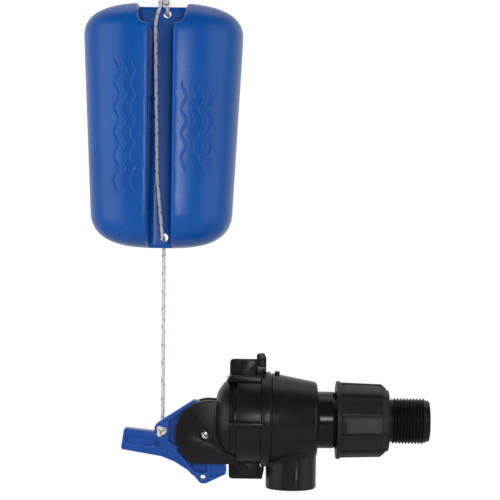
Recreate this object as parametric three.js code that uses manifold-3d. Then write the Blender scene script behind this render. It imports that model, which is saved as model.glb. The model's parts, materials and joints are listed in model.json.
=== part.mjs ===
// Pilot-operated float valve: a diaphragm valve with a union inlet, a pilot lever held between two
// ears on the front cap, and a hollow float on a cord above the lever.
// Millimetres. +X runs along the valve's axis and out of the inlet, +Z is up.
// The origin is the centre of the inlet tail's free end.

import * as THREE from "three";
import { mergeVertices } from "three/addons/utils/BufferGeometryUtils.js";
import Module from "manifold-3d";

const wasm = await Module();
wasm.setup();

// ---------------------------------------------------------------- driving dimensions

const GAP = 0.3; // between pieces that touch
const CHAMFER = 0.5; // on the edges of round pieces
const PAST = 1; // how far a cutting solid runs past what it cuts
const ROUND = 32; // sides of a large round piece
const SMALL_ROUND = 16; // sides of a small one
const TINY_ROUND = 10; // sides of a hole under 2 mm

// inlet tail, 1 inch BSP
const THREAD_R = 16.6;
const THREAD_DEPTH = 1.48;
const THREAD_PITCH = 2.309;
const THREAD_TURNS = 11;
const TAIL_TIP_LENGTH = 2.2;
const TAIL_TIP_STEP = 0.62; // below the thread's root
const TAIL_TIP_CHAMFER = 0.8;
const TAIL_WALL = 3.32; // under the thread's root
const TAIL_COLLAR_STEP = 0.7; // the plain collar stands out of the thread
const TAIL_COLLAR_END = 0.8; // collar to the first thread
const TAIL_FLANGE_STEP = 2.6; // the flange inside the nut stands out of the collar
const TAIL_FLANGE_WIDTH = 5;
const WASHER_THICK = 1.4;
const WASHER_RIM = 1; // washer's edge inside the neck's

// union nut
const NUT_FROM_THREAD = 1.7;
const NUT_LENGTH = 37.6;
const NUT_WALL = 5.8; // from the neck's radius
const NUT_TAPER = 0.9;
const NUT_RIB_COUNT = 10;
const NUT_RIB_HEIGHT = 0.9;
const NUT_RIB_WIDTH = 2.2;
const NUT_RIB_PHASE = 3;
const NUT_RIB_ROOT = 1.5; // foot of the ribs, from the neck's radius
const NUT_RIM_STEP = 1.9;
const NUT_RIM_CHAMFER = 0.6;
const NUT_RIM_WIDTH = 3.5;
const NUT_SHOULDER_DROP = 4.2;
const NUT_SHOULDER_LENGTH = 4.5;
const NUT_LIP = 8.7; // thickness of the end that holds the tail
const NUT_THREAD_CLEARANCE = 0.5;
const NUT_MOUTH_CLEARANCE = 0.4;

// neck and valve body
const NECK_LENGTH = 35; // from the body's end to the joint face
const NECK_COLLAR_STEP = 0.6;
const NECK_COLLAR_FROM_BODY = 7;
const BODY_END_STEP = 7; // the body's end stands out of the neck
const BODY_END_ROUND = 3; // its rounded corner
const BODY_TAPER_STEP = 1.1; // the body's wide end stands in from the flange
const BODY_WALL = 4.5;
const FLANGE_LIP = 2; // the flange stands out of the cap
const FLANGE_WIDTH = 5.3;
const KNOB_FROM_FLANGE = 2.7;
const KNOB_LENGTH = 3.6;
const KNOB_HALF = 4;
const KNOB_RISE = 0.4; // above the flange
const SEAT_BORE_R = 9.4;
const SEAT_RIM = 3.2;
const SEAT_FLARE = 0.8; // the seat's tube widens to its root
const SEAT_SETBACK = 11.2; // flange face to seat face
const INLET_FLARE_LENGTH = 12; // body's end to the full bore
const OUTLET_R = 17.9;
const OUTLET_WALL = 3.5;
const OUTLET_FROM_FLANGE = 2.4; // flange face to the outlet's side
const OUTLET_FROM_END = 0.8; // outlet's other side to the body's end
const OUTLET_DROP = 49.2; // axis to the outlet's end
const OUTLET_BORE_FROM_SEAT = 2.6; // top of the outlet's bore, below the seat's rim

// front cap
const CAP_R = 32;
const CAP_GAP = 1.4; // visible gap between cap and flange
const CAP_SKIRT = 21.4;
const CAP_DOME = 10.8;
const CAP_DOME_STEPS = 5;
const CAP_DOME_POWER = 2.5;
const CAP_NOSE_R = 14.5;
const CAP_WALL = 3.5;
const SPIGOT_STEP = 2.2; // the spigot stands in from the cap
const SPIGOT_WALL = 3.3;
const SPIGOT_LENGTH = 5.1;
const WING_RISE = 11.1; // above the cap
const WING_THICK = 3.4;
const WING_LENGTH = 22.8;
const WING_CORNER = 3.2;
const WING_BASE_HALF = 6;
const WING_BASE_RISE = 0.6;
const WING_BASE_INSET = 1.5;
const PEDESTAL_HALF = 16; // the wider block under the top wing
const PEDESTAL_DEPTH = 4.4; // its foot, below the cap's surface
const PEDESTAL_RISE = 0.4;
const PEDESTAL_OVERHANG = 2; // beyond the wing, over the dome
const PEDESTAL_SLOPE = 3;
const TAB_RISE = 15.4; // above the cap
const TAB_HALF = 5;
const TAB_ROOT = 3.6; // length on the cap
const TAB_DEPTH = 4; // into the cap
const TAB_OVERLAP = 1.9; // over the body's flange

// diaphragm and main valve
const DIAPHRAGM_THICK = 1.6;
const DIAPHRAGM_FOLD = 2.4; // depth of its rolled ring
const BEAD_WIDTH = 2.4;
const BEAD_DEPTH = 3.3;
const BEAD_LIP = 0.6; // the bead's inner edge past its seat
const MAIN_LIFT = 4.6; // how far the disc stands off its seat as drawn
const DISC_OVERLAP = 1.9; // past the seat's rim
const DISC_THICK = 3.6;
const DISC_WASHER_THICK = 1.2;
const DISC_WASHER_INSET = 1; // inside the seat's bore
const PLATE_R = 17;
const PLATE_THICK = 3;
const PLATE_CHAMFER = 0.8;
const PLATE_HUB = 2.5;
const SCREW_R = 2.9;
const SCREW_HEAD_R = 5.4;
const SCREW_HEAD = 3.2;
const SCREW_TIP = 1; // beyond the nut
const SCREW_BLEED_R = 0.9;
const CENTRE_NUT_R = 5.6;
const CENTRE_NUT_THICK = 3;
const SPRING_R = 9.2;
const SPRING_WIRE_R = 0.7;
const SPRING_TURNS = 5;
const SPRING_SEAT = 2; // the hub's edge inside the spring

// pilot
const JET_R = 2.6;
const JET_BORE_R = 0.8;
const JET_COLLAR_STEP = 0.6;
const JET_TIP_STEP = 0.9;
const JET_TIP_LENGTH = 1;
const JET_STANDOFF = 3.2; // nozzle tip in front of the nose
const SEAL_R = 4;
const SEAL_THICK = 3;
const SEAL_PROUD = 0.8; // of its holder
const SEAL_HOLDER_WALL = 1.6;
const SEAL_HOLDER_BACK = 3;
const CLOSE_ANGLE = 14; // degrees from the lever as drawn to shut

// lever, pin and ears
const LEVER_WIDTH = 13;
const LEVER_WEB = 4.4;
const LEVER_HUB_PROUD = 1.5;
const LEVER_HUB_WALL = 3.6; // around the pin
const PIN_R = 3;
const PIN_CLEARANCE = 0.12;
const PIN_RECESS = 1.5;
const CORD_EYE = [-31.3, 2.2]; // from the pivot
const LOWER_EYE = [-1.2, -31.1];
const EYE_R = 1.95;
const FOOT_DROP = 23.4; // pivot to the top of the lever's foot
const FOOT_DEPTH = 4.8;
const FOOT_STOP = 1.7; // what the lever opens by before its foot meets the cap
const PIVOT_FROM_NOSE = 7.8;
const PIVOT_DROP = 11;
const EAR_CLEARANCE = 0.5; // between an ear and the lever's hub
const EAR_THICK = 5;
const EAR_R = 23.7;
const EAR_CENTRE = [2.8, 1.1]; // from the pivot
const EAR_FLAT_DROP = 20.4; // pivot to the ears' flat bottom
const EAR_FLAT_RUN = 10; // the flat's near end, from the ear's centre
const EAR_ARC = { from: 85, step: 6.25, count: 29 }; // degrees
const EAR_ROOT = 0.5; // into the cap's skirt
const EAR_HOLE_STEP = 0.6; // the recess around the pin

// float
const FLOAT_HEIGHT = 174.6;
const FLOAT_TOP_HALF = [58.2, 49];
const FLOAT_BOTTOM_HALF = [49.6, 42];
const FLOAT_CROWN = [25, 26]; // height of the rounded top and bottom
const FLOAT_SQUARENESS = 2.5; // power of the section, 2 for an ellipse
const FLOAT_WALL = 2.2;
const FLOAT_WEB = 9;
const FLOAT_RISE = 130.7; // lever's cord eye to the float's bottom
const FLOAT_OFFSET = -2.2; // float's centre from the cord eye
const GROOVE_MOUTH = 19;
const GROOVE_FLOOR = 16.6;
const GROOVE_CORNER = 2;
const NOTCH_HALF = 17;
const NOTCH_DEPTH = 17.7;
const NOTCH_CORNER = 5;
const NOTCH_SLOPE = 1.5; // the floor is narrower than the middle by this at each side
const NOTCH_FLARE = 1; // the top is wider
const WEB_TOP_DROP = 1.2;
const CORD_HOLE_R = 2.9;
const CORD_HOLE_UP = 7.5; // lower hole from the float's foot
const CORD_HOLE_DOWN = 6.4; // upper hole from the float's top
const PLUG_PLACE = [26, 24]; // from the float's axis
const PLUG_R = 3;
const PLUG_STEM = 8;
const PLUG_TAPER = 0.6;
const PLUG_HEAD_R = 5;
const PLUG_HEAD = 1;
const PLUG_RISE = 1.2; // of the head's underside above the crown

const CORD_R = 1.3;

// ---------------------------------------------------------------- sizes worked out from them

const threadRoot = THREAD_R - THREAD_DEPTH;
const tailBoreR = threadRoot - TAIL_WALL;
const collarR = THREAD_R + TAIL_COLLAR_STEP;
const tailFlangeR = collarR + TAIL_FLANGE_STEP;
const neckR = tailFlangeR + GAP;
const neckCollarR = neckR + NECK_COLLAR_STEP;
const nutR = neckR + NUT_WALL;
const nutRimR = nutR + NUT_RIM_STEP;
const bodyEndR = neckR + BODY_END_STEP;
const flangeR = CAP_R + FLANGE_LIP;
const bodyWideR = flangeR - BODY_TAPER_STEP;
const bodyLength = OUTLET_FROM_FLANGE + 2 * OUTLET_R + OUTLET_FROM_END;
const seatR = SEAT_BORE_R + SEAT_RIM;
const spigotR = CAP_R - SPIGOT_STEP;
const wingR = CAP_R + WING_RISE;
const discR = seatR + DISC_OVERLAP;
const screwHoleR = SCREW_R + GAP;
const jetCollarR = JET_R + JET_COLLAR_STEP;
const pinBoreR = PIN_R + PIN_CLEARANCE;
const hubHalf = LEVER_WIDTH / 2 + LEVER_HUB_PROUD;
const earInner = hubHalf + EAR_CLEARANCE;
const earOuter = earInner + EAR_THICK;

// ---------------------------------------------------------------- places worked out from them

const threadStart = -TAIL_TIP_LENGTH - THREAD_TURNS * THREAD_PITCH;
const nutEnd = threadStart - NUT_FROM_THREAD;
const nutStart = nutEnd - NUT_LENGTH;
const lipFace = nutEnd - NUT_LIP;
const tailFlange = lipFace - GAP - TAIL_FLANGE_WIDTH;
const washerFace = tailFlange - GAP;
const neckEnd = washerFace - WASHER_THICK - GAP;
const bodyEnd = neckEnd - NECK_LENGTH;
const flangeFace = bodyEnd - bodyLength;
const seatFace = flangeFace + SEAT_SETBACK;
const outletX = flangeFace + OUTLET_FROM_FLANGE + OUTLET_R;
const beadSeat = flangeFace + SPIGOT_LENGTH - CAP_GAP + GAP + BEAD_WIDTH + GAP;
const capEnd = flangeFace - CAP_GAP;
const skirtEnd = capEnd - CAP_SKIRT;
const nose = skirtEnd - CAP_DOME;
const jetTip = nose - JET_STANDOFF;
const pivot = new THREE.Vector3(nose - PIVOT_FROM_NOSE, 0, -PIVOT_DROP);
const cordEye = new THREE.Vector3(pivot.x + CORD_EYE[0], 0, pivot.z + CORD_EYE[1]);
const floatFoot = new THREE.Vector3(cordEye.x + FLOAT_OFFSET, 0, cordEye.z + FLOAT_RISE);

// ---------------------------------------------------------------- materials

const black = { color: 0x1f2023, roughness: 0.45, metalness: 0 };
const satinBlack = { color: 0x232427, roughness: 0.6, metalness: 0 };
const leverBlue = { color: 0x1446a8, roughness: 0.4, metalness: 0 };
const floatBlue = { color: 0x0055a5, roughness: 0.25, metalness: 0 };
const rubber = { color: 0x1a1a1a, roughness: 0.85, metalness: 0 };
const steel = { color: 0xb8babd, roughness: 0.3, metalness: 1 };
const brass = { color: 0xb98a45, roughness: 0.35, metalness: 1 };
const innerPlastic = { color: 0xd9d6cc, roughness: 0.5, metalness: 0 };
const cordWhite = { color: 0xe6e0e2, roughness: 0.9, metalness: 0 };

// ---------------------------------------------------------------- helpers

function closedGeometry(geometry) {
  const bare = geometry.clone();
  bare.deleteAttribute("normal");
  bare.deleteAttribute("uv");
  const merged = mergeVertices(bare, 1e-4);
  const points = merged.attributes.position.array;
  const faces = merged.index.array;
  const kept = [];
  let volume = 0;
  const a = new THREE.Vector3();
  const b = new THREE.Vector3();
  const c = new THREE.Vector3();
  for (let i = 0; i < faces.length; i += 3) {
    const [p, q, r] = [faces[i], faces[i + 1], faces[i + 2]];
    if (p === q || q === r || r === p) continue;
    a.fromArray(points, p * 3);
    b.fromArray(points, q * 3);
    c.fromArray(points, r * 3);
    volume += a.dot(b.clone().cross(c));
    kept.push([p, q, r]);
  }
  const outward = volume < 0 ? kept.map(([p, q, r]) => [p, r, q]) : kept;
  return { vertProperties: new Float32Array(points), triVerts: new Uint32Array(outward.flat()) };
}

function solid(geometry) {
  return new wasm.Manifold(new wasm.Mesh({ numProp: 3, ...closedGeometry(geometry) }));
}

function piece(name, body, look) {
  const mesh = body.getMesh();
  const geometry = new THREE.BufferGeometry();
  geometry.setAttribute("position", new THREE.BufferAttribute(new Float32Array(mesh.vertProperties), 3));
  geometry.setIndex(new THREE.BufferAttribute(new Uint32Array(mesh.triVerts), 1));
  geometry.computeVertexNormals();
  const part = new THREE.Mesh(geometry, new THREE.MeshStandardMaterial(look));
  part.name = name;
  return part;
}

const joined = (first, ...others) => others.reduce((whole, other) => whole.add(other), first);
const cut = (first, ...others) => others.reduce((whole, other) => whole.subtract(other), first);

// a solid turned about the X axis, from points [x, radius] that start and end on the axis
function turned(profile, sides = ROUND) {
  const points = profile.map(([x, r]) => new THREE.Vector2(r, x));
  return solid(new THREE.LatheGeometry(points, sides).rotateZ(-Math.PI / 2));
}

// a ring turned about the X axis, from a closed outline of points [x, radius]
function turnedRing(outline, sides = ROUND) {
  return turned([...outline, outline[0]], sides);
}

function rod(from, to, radius, sides = SMALL_ROUND) {
  return turned([[from, 0], [from, radius], [to, radius], [to, 0]], sides);
}

function block(x, y, z) {
  const box = new THREE.BoxGeometry(x[1] - x[0], y[1] - y[0], z[1] - z[0]);
  return solid(box.translate((x[0] + x[1]) / 2, (y[0] + y[1]) / 2, (z[0] + z[1]) / 2));
}

// an outline in X and Z, as thick as y[0] to y[1]
function plate(shape, y) {
  const settings = { depth: y[1] - y[0], bevelEnabled: false, curveSegments: 6 };
  const slab = new THREE.ExtrudeGeometry(shape, settings);
  return solid(slab.rotateX(Math.PI / 2).translate(0, y[1], 0));
}

function crossPin(x, z, radius, y, sides = SMALL_ROUND) {
  const round = new THREE.CylinderGeometry(radius, radius, y[1] - y[0], sides);
  return solid(round.translate(x, (y[0] + y[1]) / 2, z));
}

function outline(points) {
  return new THREE.Shape(points.map(([x, z]) => new THREE.Vector2(x, z)));
}

function spread(count, make) {
  return Array.from({ length: count }, (_, i) => make(i));
}

// an outline whose corners are rounded: points [x, z, corner radius]
function roundedOutline(points) {
  const shape = new THREE.Shape();
  points.forEach(([x, z, r = 0], i) => {
    const corner = new THREE.Vector2(x, z);
    const before = new THREE.Vector2(...points.at(i - 1).slice(0, 2)).sub(corner);
    const after = new THREE.Vector2(...points[(i + 1) % points.length].slice(0, 2)).sub(corner);
    const start = corner.clone().add(before.setLength(Math.min(r, before.length() / 2)));
    const end = corner.clone().add(after.setLength(Math.min(r, after.length() / 2)));
    if (i === 0) shape.moveTo(start.x, start.y);
    else shape.lineTo(start.x, start.y);
    if (r > 0) shape.quadraticCurveTo(x, z, end.x, end.y);
  });
  shape.closePath();
  return shape;
}

// ---------------------------------------------------------------- inlet side

function inletTail() {
  const crests = spread(THREAD_TURNS, (i) => {
    const x = threadStart + i * THREAD_PITCH;
    return [[x, threadRoot], [x + THREAD_PITCH / 2, THREAD_R]];
  }).flat();
  const tipR = threadRoot - TAIL_TIP_STEP;
  const outside = [
    [tailFlange, 0],
    [tailFlange, tailFlangeR],
    [tailFlange + TAIL_FLANGE_WIDTH, tailFlangeR],
    [tailFlange + TAIL_FLANGE_WIDTH, collarR],
    [threadStart - TAIL_COLLAR_END, collarR],
    ...crests,
    [-TAIL_TIP_LENGTH, tipR],
    [-TAIL_TIP_CHAMFER, tipR],
    [0, tipR - TAIL_TIP_CHAMFER],
    [0, 0],
  ];
  const body = cut(turned(outside), rod(tailFlange - PAST, PAST, tailBoreR, ROUND));
  return piece("inlet_tail", body, black);
}

function tailWasher() {
  const ring = turnedRing([
    [washerFace - WASHER_THICK, tailBoreR + GAP],
    [washerFace - WASHER_THICK, neckR - WASHER_RIM],
    [washerFace, neckR - WASHER_RIM],
    [washerFace, tailBoreR + GAP],
  ]);
  return piece("tail_washer", ring, rubber);
}

function unionNut() {
  const shoulder = nutEnd - NUT_SHOULDER_LENGTH;
  const shoulderR = nutR - NUT_TAPER;
  const body = turned([
    [nutStart, 0],
    [nutStart, nutRimR - NUT_RIM_CHAMFER],
    [nutStart + NUT_RIM_CHAMFER, nutRimR],
    [nutStart + NUT_RIM_WIDTH - 1, nutRimR],
    [nutStart + NUT_RIM_WIDTH, nutR],
    [shoulder, shoulderR],
    [shoulder + NUT_SHOULDER_LENGTH * 0.55, shoulderR - 1.2],
    [nutEnd, nutR - NUT_SHOULDER_DROP],
    [nutEnd, 0],
  ]);
  const ribEnd = shoulder + NUT_SHOULDER_LENGTH * 0.6;
  const ribRun = outline([
    [nutStart + NUT_RIM_WIDTH / 2, neckR + NUT_RIB_ROOT],
    [nutStart + NUT_RIM_WIDTH / 2, nutR + NUT_RIB_HEIGHT],
    [shoulder, shoulderR + NUT_RIB_HEIGHT],
    [ribEnd, shoulderR - 1.4],
    [ribEnd, neckR + NUT_RIB_ROOT],
  ]);
  const rib = plate(ribRun, [-NUT_RIB_WIDTH / 2, NUT_RIB_WIDTH / 2]);
  const ribs = spread(NUT_RIB_COUNT, (i) => rib.rotate([NUT_RIB_PHASE + (i * 360) / NUT_RIB_COUNT, 0, 0]));
  const threaded = rod(nutStart - PAST, lipFace, neckR + NUT_THREAD_CLEARANCE, ROUND);
  const mouth = rod(lipFace - PAST, nutEnd + PAST, collarR + NUT_MOUTH_CLEARANCE, ROUND);
  return piece("union_nut", cut(joined(body, ...ribs), threaded, mouth), satinBlack);
}

// ---------------------------------------------------------------- valve body

// an upright cylinder on the outlet's axis
function upright(radius, z) {
  const round = new THREE.CylinderGeometry(radius, radius, z[1] - z[0], ROUND).rotateX(Math.PI / 2);
  return solid(round.translate(outletX, 0, (z[0] + z[1]) / 2));
}

function valveBody() {
  const outside = turned([
    [flangeFace, 0],
    [flangeFace, flangeR - CHAMFER],
    [flangeFace + CHAMFER, flangeR],
    [flangeFace + FLANGE_WIDTH - CHAMFER, flangeR],
    [flangeFace + FLANGE_WIDTH, bodyWideR],
    [bodyEnd - BODY_END_ROUND, bodyEndR],
    [bodyEnd - 0.3 * BODY_END_ROUND, bodyEndR - 0.3 * BODY_END_ROUND],
    [bodyEnd, bodyEndR - BODY_END_ROUND],
    [bodyEnd, neckR],
    [bodyEnd + NECK_COLLAR_FROM_BODY - 1, neckR],
    [bodyEnd + NECK_COLLAR_FROM_BODY, neckCollarR],
    [nutStart - CHAMFER, neckCollarR],
    [nutStart, neckR],
    [neckEnd - 1, neckR],
    [neckEnd, neckR - 1],
    [neckEnd, 0],
  ]);
  const knobStart = flangeFace + FLANGE_WIDTH + KNOB_FROM_FLANGE;
  const knob = block(
    [knobStart, knobStart + KNOB_LENGTH],
    [-KNOB_HALF, KNOB_HALF],
    [bodyEndR, flangeR + KNOB_RISE],
  );
  const beadBoreR = spigotR - BEAD_DEPTH;
  const seatRoot = bodyEnd - BODY_WALL;
  const chamber = turned([
    [beadSeat - PAST, 0],
    [beadSeat - PAST, beadBoreR],
    [beadSeat, beadBoreR],
    [seatRoot, bodyEndR - BODY_WALL],
    [seatRoot, seatR + SEAT_FLARE],
    [seatFace, seatR],
    [seatFace, 0],
  ]);
  const spigotSocket = rod(flangeFace - PAST, beadSeat, spigotR + GAP, ROUND);
  const inletBore = turned([
    [seatFace - PAST, 0],
    [seatFace - PAST, SEAT_BORE_R],
    [bodyEnd, SEAT_BORE_R],
    [bodyEnd + INLET_FLARE_LENGTH, tailBoreR],
    [neckEnd + PAST, tailBoreR],
    [neckEnd + PAST, 0],
  ]);
  const outlet = upright(OUTLET_R, [-OUTLET_DROP, 0]);
  const outletBore = upright(OUTLET_R - OUTLET_WALL, [-OUTLET_DROP - PAST, -seatR - OUTLET_BORE_FROM_SEAT]);
  const whole = joined(outside, outlet, knob);
  return piece("valve_body", cut(whole, chamber, spigotSocket, inletBore, outletBore), black);
}

// ---------------------------------------------------------------- front cap

// where the dome's surface is at a radius
function domeAt(radius) {
  const share = Math.min(1, (radius - CAP_NOSE_R) / (CAP_R - CAP_NOSE_R));
  return skirtEnd - CAP_DOME * Math.sin(Math.acos(share ** (1 / CAP_DOME_POWER)));
}

function domeProfile(offset) {
  const rise = CAP_R - CAP_NOSE_R;
  return spread(CAP_DOME_STEPS + 1, (i) => {
    const angle = (i / CAP_DOME_STEPS) * (Math.PI / 2);
    const x = skirtEnd - (CAP_DOME - offset) * Math.sin(angle);
    const bulge = Math.cos(angle) ** CAP_DOME_POWER;
    return [x, CAP_NOSE_R - offset / 2 + (rise - offset / 2) * bulge];
  });
}

function wing() {
  const left = capEnd - WING_LENGTH;
  const blade = plate(
    roundedOutline([
      [left, CAP_NOSE_R],
      [left, wingR, WING_CORNER],
      [capEnd, wingR],
      [capEnd, CAP_NOSE_R],
    ]),
    [-WING_THICK / 2, WING_THICK / 2],
  );
  const base = block(
    [left + WING_BASE_INSET, capEnd],
    [-WING_BASE_HALF, WING_BASE_HALF],
    [CAP_R - CAP_WALL, CAP_R + WING_BASE_RISE],
  );
  return blade.add(base);
}

function pedestal() {
  const left = capEnd - WING_LENGTH - PEDESTAL_OVERHANG;
  const foot = CAP_R - PEDESTAL_DEPTH;
  const section = [
    [left, foot],
    [left, CAP_R - CAP_WALL],
    [left + PEDESTAL_SLOPE, CAP_R + PEDESTAL_RISE],
    [capEnd, CAP_R + PEDESTAL_RISE],
    [capEnd, foot],
  ];
  return plate(outline(section), [-PEDESTAL_HALF, PEDESTAL_HALF]);
}

function ear(side) {
  const x = pivot.x + EAR_CENTRE[0];
  const z = pivot.z + EAR_CENTRE[1];
  const flat = pivot.z - EAR_FLAT_DROP;
  const root = skirtEnd - EAR_ROOT;
  const arc = spread(EAR_ARC.count, (i) => {
    const angle = THREE.MathUtils.degToRad(EAR_ARC.from + i * EAR_ARC.step);
    return [x + EAR_R * Math.cos(angle), z + EAR_R * Math.sin(angle)];
  }).filter(([, height]) => height > flat);
  const cheek = outline([...arc, [x - EAR_FLAT_RUN, flat], [root, flat], [root, arc[0][1]]]);
  const faces = [side * earInner, side * earOuter];
  return plate(cheek, [Math.min(...faces), Math.max(...faces)]);
}

function lockingTab() {
  const reach = flangeFace + TAB_OVERLAP;
  const top = CAP_R + TAB_RISE;
  const profile = roundedOutline([
    [capEnd - TAB_ROOT, CAP_R - TAB_DEPTH],
    [capEnd - TAB_ROOT, top, 2],
    [reach, top, 1.2],
    [reach, flangeR + GAP],
    [capEnd, flangeR + GAP],
    [capEnd, CAP_R - TAB_DEPTH],
  ]);
  return plate(profile, [-TAB_HALF, TAB_HALF]);
}

function frontCap() {
  const spigotEnd = capEnd + SPIGOT_LENGTH;
  const shell = turned([
    [nose, 0],
    ...domeProfile(0).reverse(),
    [capEnd, CAP_R],
    [capEnd, spigotR],
    [spigotEnd, spigotR],
    [spigotEnd, 0],
  ]);
  const hollow = turned([
    [nose + CAP_WALL, 0],
    ...domeProfile(CAP_WALL).reverse(),
    [capEnd - 2, CAP_R - CAP_WALL],
    [capEnd, spigotR - SPIGOT_WALL],
    [spigotEnd + PAST, spigotR - SPIGOT_WALL],
    [spigotEnd + PAST, 0],
  ]);
  const wings = spread(4, (i) => wing().rotate([90 * i, 0, 0]));
  const recessR = PIN_R + EAR_HOLE_STEP;
  const pinHoles = [
    crossPin(pivot.x, pivot.z, pinBoreR, [-earOuter - PAST, earOuter + PAST]),
    crossPin(pivot.x, pivot.z, recessR, [-earOuter - PAST, -earOuter + PIN_RECESS]),
    crossPin(pivot.x, pivot.z, recessR, [earOuter - PIN_RECESS, earOuter + PAST]),
  ];
  const jetHole = rod(nose - PAST, nose + CAP_WALL + PAST, JET_R + GAP / 2);
  const whole = joined(shell, ...wings, pedestal(), ear(-1), ear(1), lockingTab());
  return piece("front_cap", cut(whole, hollow, jetHole, ...pinHoles), black);
}

// ---------------------------------------------------------------- diaphragm and main valve

const discFace = seatFace - GAP - MAIN_LIFT;
const discBack = discFace - DISC_THICK;
const sheetFace = discBack - GAP;
const sheetBack = sheetFace - DIAPHRAGM_THICK;
const plateFace = sheetBack - GAP;
const plateBack = plateFace - PLATE_THICK;
const hubBack = plateBack - PLATE_HUB;

function diaphragm() {
  const beadFace = beadSeat - GAP;
  const beadBack = beadFace - BEAD_WIDTH;
  const rimR = spigotR - GAP;
  const foldInner = PLATE_R + 1;
  const foldOuter = spigotR - BEAD_DEPTH + BEAD_LIP;
  const fold = spread(5, (i) => {
    const t = i / 4;
    const ease = t * t * (3 - 2 * t);
    const run = sheetBack + (beadBack + 0.4 - sheetBack) * ease;
    return [run - DIAPHRAGM_FOLD * Math.sin(Math.PI * t), foldInner + (foldOuter - foldInner) * t];
  });
  const front = fold.map(([x, r]) => [x + DIAPHRAGM_THICK, r]).reverse();
  front[0] = [beadFace, foldOuter];
  const body = turnedRing([
    [sheetBack, screwHoleR],
    ...fold,
    [beadBack, foldOuter + BEAD_LIP / 2],
    [beadBack, rimR],
    [beadFace, rimR],
    ...front,
    [sheetFace, screwHoleR],
  ]);
  return piece("diaphragm", body, rubber);
}

function valveDisc() {
  const ring = turnedRing([
    [discBack, screwHoleR],
    [discBack, discR],
    [discFace - CHAMFER, discR],
    [discFace, discR - CHAMFER],
    [discFace, screwHoleR],
  ]);
  return piece("valve_disc", ring, rubber);
}

function diaphragmPlate() {
  const hubR = SPRING_R - SPRING_SEAT;
  const ring = turnedRing([
    [hubBack, screwHoleR],
    [hubBack, hubR],
    [plateBack, hubR],
    [plateBack, PLATE_R - PLATE_CHAMFER],
    [plateBack + PLATE_CHAMFER, PLATE_R],
    [plateFace, PLATE_R],
    [plateFace, screwHoleR],
  ]);
  return piece("diaphragm_plate", ring, innerPlastic);
}

function centreFastening() {
  const washerBack = discFace + GAP;
  const washerTop = washerBack + DISC_WASHER_THICK;
  const washerR = SEAT_BORE_R - DISC_WASHER_INSET;
  const washer = turnedRing([
    [washerBack, screwHoleR],
    [washerBack, washerR],
    [washerTop, washerR],
    [washerTop, screwHoleR],
  ]);
  const headBack = washerTop + GAP;
  const headTop = headBack + SCREW_HEAD;
  const nutFace = hubBack - GAP;
  const nutBack = nutFace - CENTRE_NUT_THICK;
  const head = turned([
    [headBack, 0],
    [headBack, SCREW_HEAD_R],
    [headTop, SCREW_HEAD_R - 1],
    [headTop, 0],
  ]);
  const shank = rod(nutBack - SCREW_TIP, headBack + PAST, SCREW_R);
  const bleed = rod(nutBack - SCREW_TIP - PAST, headTop + PAST, SCREW_BLEED_R, TINY_ROUND);
  const hexagon = rod(nutBack, nutFace, CENTRE_NUT_R, 6);
  return [
    piece("disc_washer", washer, steel),
    piece("centre_screw", cut(joined(shank, head), bleed), steel),
    piece("centre_nut", cut(hexagon, rod(nutBack - PAST, nutFace + PAST, screwHoleR)), steel),
  ];
}

class Helix extends THREE.Curve {
  constructor(from, to, radius, turns) {
    super();
    Object.assign(this, { from, to, radius, turns });
  }

  getPoint(t, target = new THREE.Vector3()) {
    const angle = 2 * Math.PI * this.turns * t;
    const x = this.from + (this.to - this.from) * t;
    return target.set(x, this.radius * Math.cos(angle), this.radius * Math.sin(angle));
  }
}

function ringShape(radius, sides) {
  return outline(
    spread(sides, (i) => {
      const angle = (2 * Math.PI * i) / sides;
      return [radius * Math.cos(angle), radius * Math.sin(angle)];
    }),
  );
}

function tube(path, radius, steps, sides = 8) {
  return solid(
    new THREE.ExtrudeGeometry(ringShape(radius, sides), { steps, bevelEnabled: false, extrudePath: path }),
  );
}

function returnSpring() {
  const inset = SPRING_WIRE_R + GAP;
  const path = new Helix(nose + CAP_WALL + inset, plateBack - inset, SPRING_R, SPRING_TURNS);
  return piece("return_spring", tube(path, SPRING_WIRE_R, SPRING_TURNS * 12, 6), steel);
}

// ---------------------------------------------------------------- pilot

function pilotJet() {
  const back = nose + CAP_WALL;
  const body = turned([
    [jetTip, 0],
    [jetTip, JET_R - JET_TIP_STEP],
    [jetTip + JET_TIP_LENGTH, jetCollarR],
    [nose - GAP, jetCollarR],
    [nose - GAP, JET_R],
    [back, JET_R],
    [back, 0],
  ], SMALL_ROUND);
  return piece("pilot_jet", cut(body, rod(jetTip - PAST, back + PAST, JET_BORE_R, TINY_ROUND)), brass);
}

// the pad's face as it stands when shut, from the pivot
const padFace = jetTip - GAP - pivot.x;

// a round piece on the jet's axis as it stands when shut, turned back to where the lever is drawn
function facingJet(from, to, radius) {
  return rod(from, to, radius).translate([0, 0, PIVOT_DROP]).rotate([0, -CLOSE_ANGLE, 0]);
}

function pilotSeal() {
  return piece("pilot_seal", facingJet(padFace - SEAL_THICK, padFace, SEAL_R), rubber);
}

// ---------------------------------------------------------------- lever, about its pivot

// the foot stands clear of the lower wing and of the dome
const footX = Math.min(capEnd - WING_LENGTH, domeAt(PIVOT_DROP + FOOT_DROP)) - FOOT_STOP - pivot.x;

const LEVER_OUTLINE = [
  [-58.1, 3.5, 1.5],
  [-36.3, 1.3, 1],
  [-36.3, 5.6, 3],
  [-33.3, 8.1, 2],
  [-8.2, 24.4, 3],
  [-3.5, 23, 3],
  [-2, 13],
  [6.4, 2],
  [6.4, -5, 2],
  [footX, -FOOT_DROP, 0.8],
  [footX, -FOOT_DROP - FOOT_DEPTH, 2.5],
  [0.9, -35.2, 2.5],
  [-2.6, -35.2, 2.5],
  [-10, -27.1, 8],
  [-21.4, -19.9, 8],
  [-31, -16.1, 6],
  [-60.2, -11.3, 1.5],
];

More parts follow.
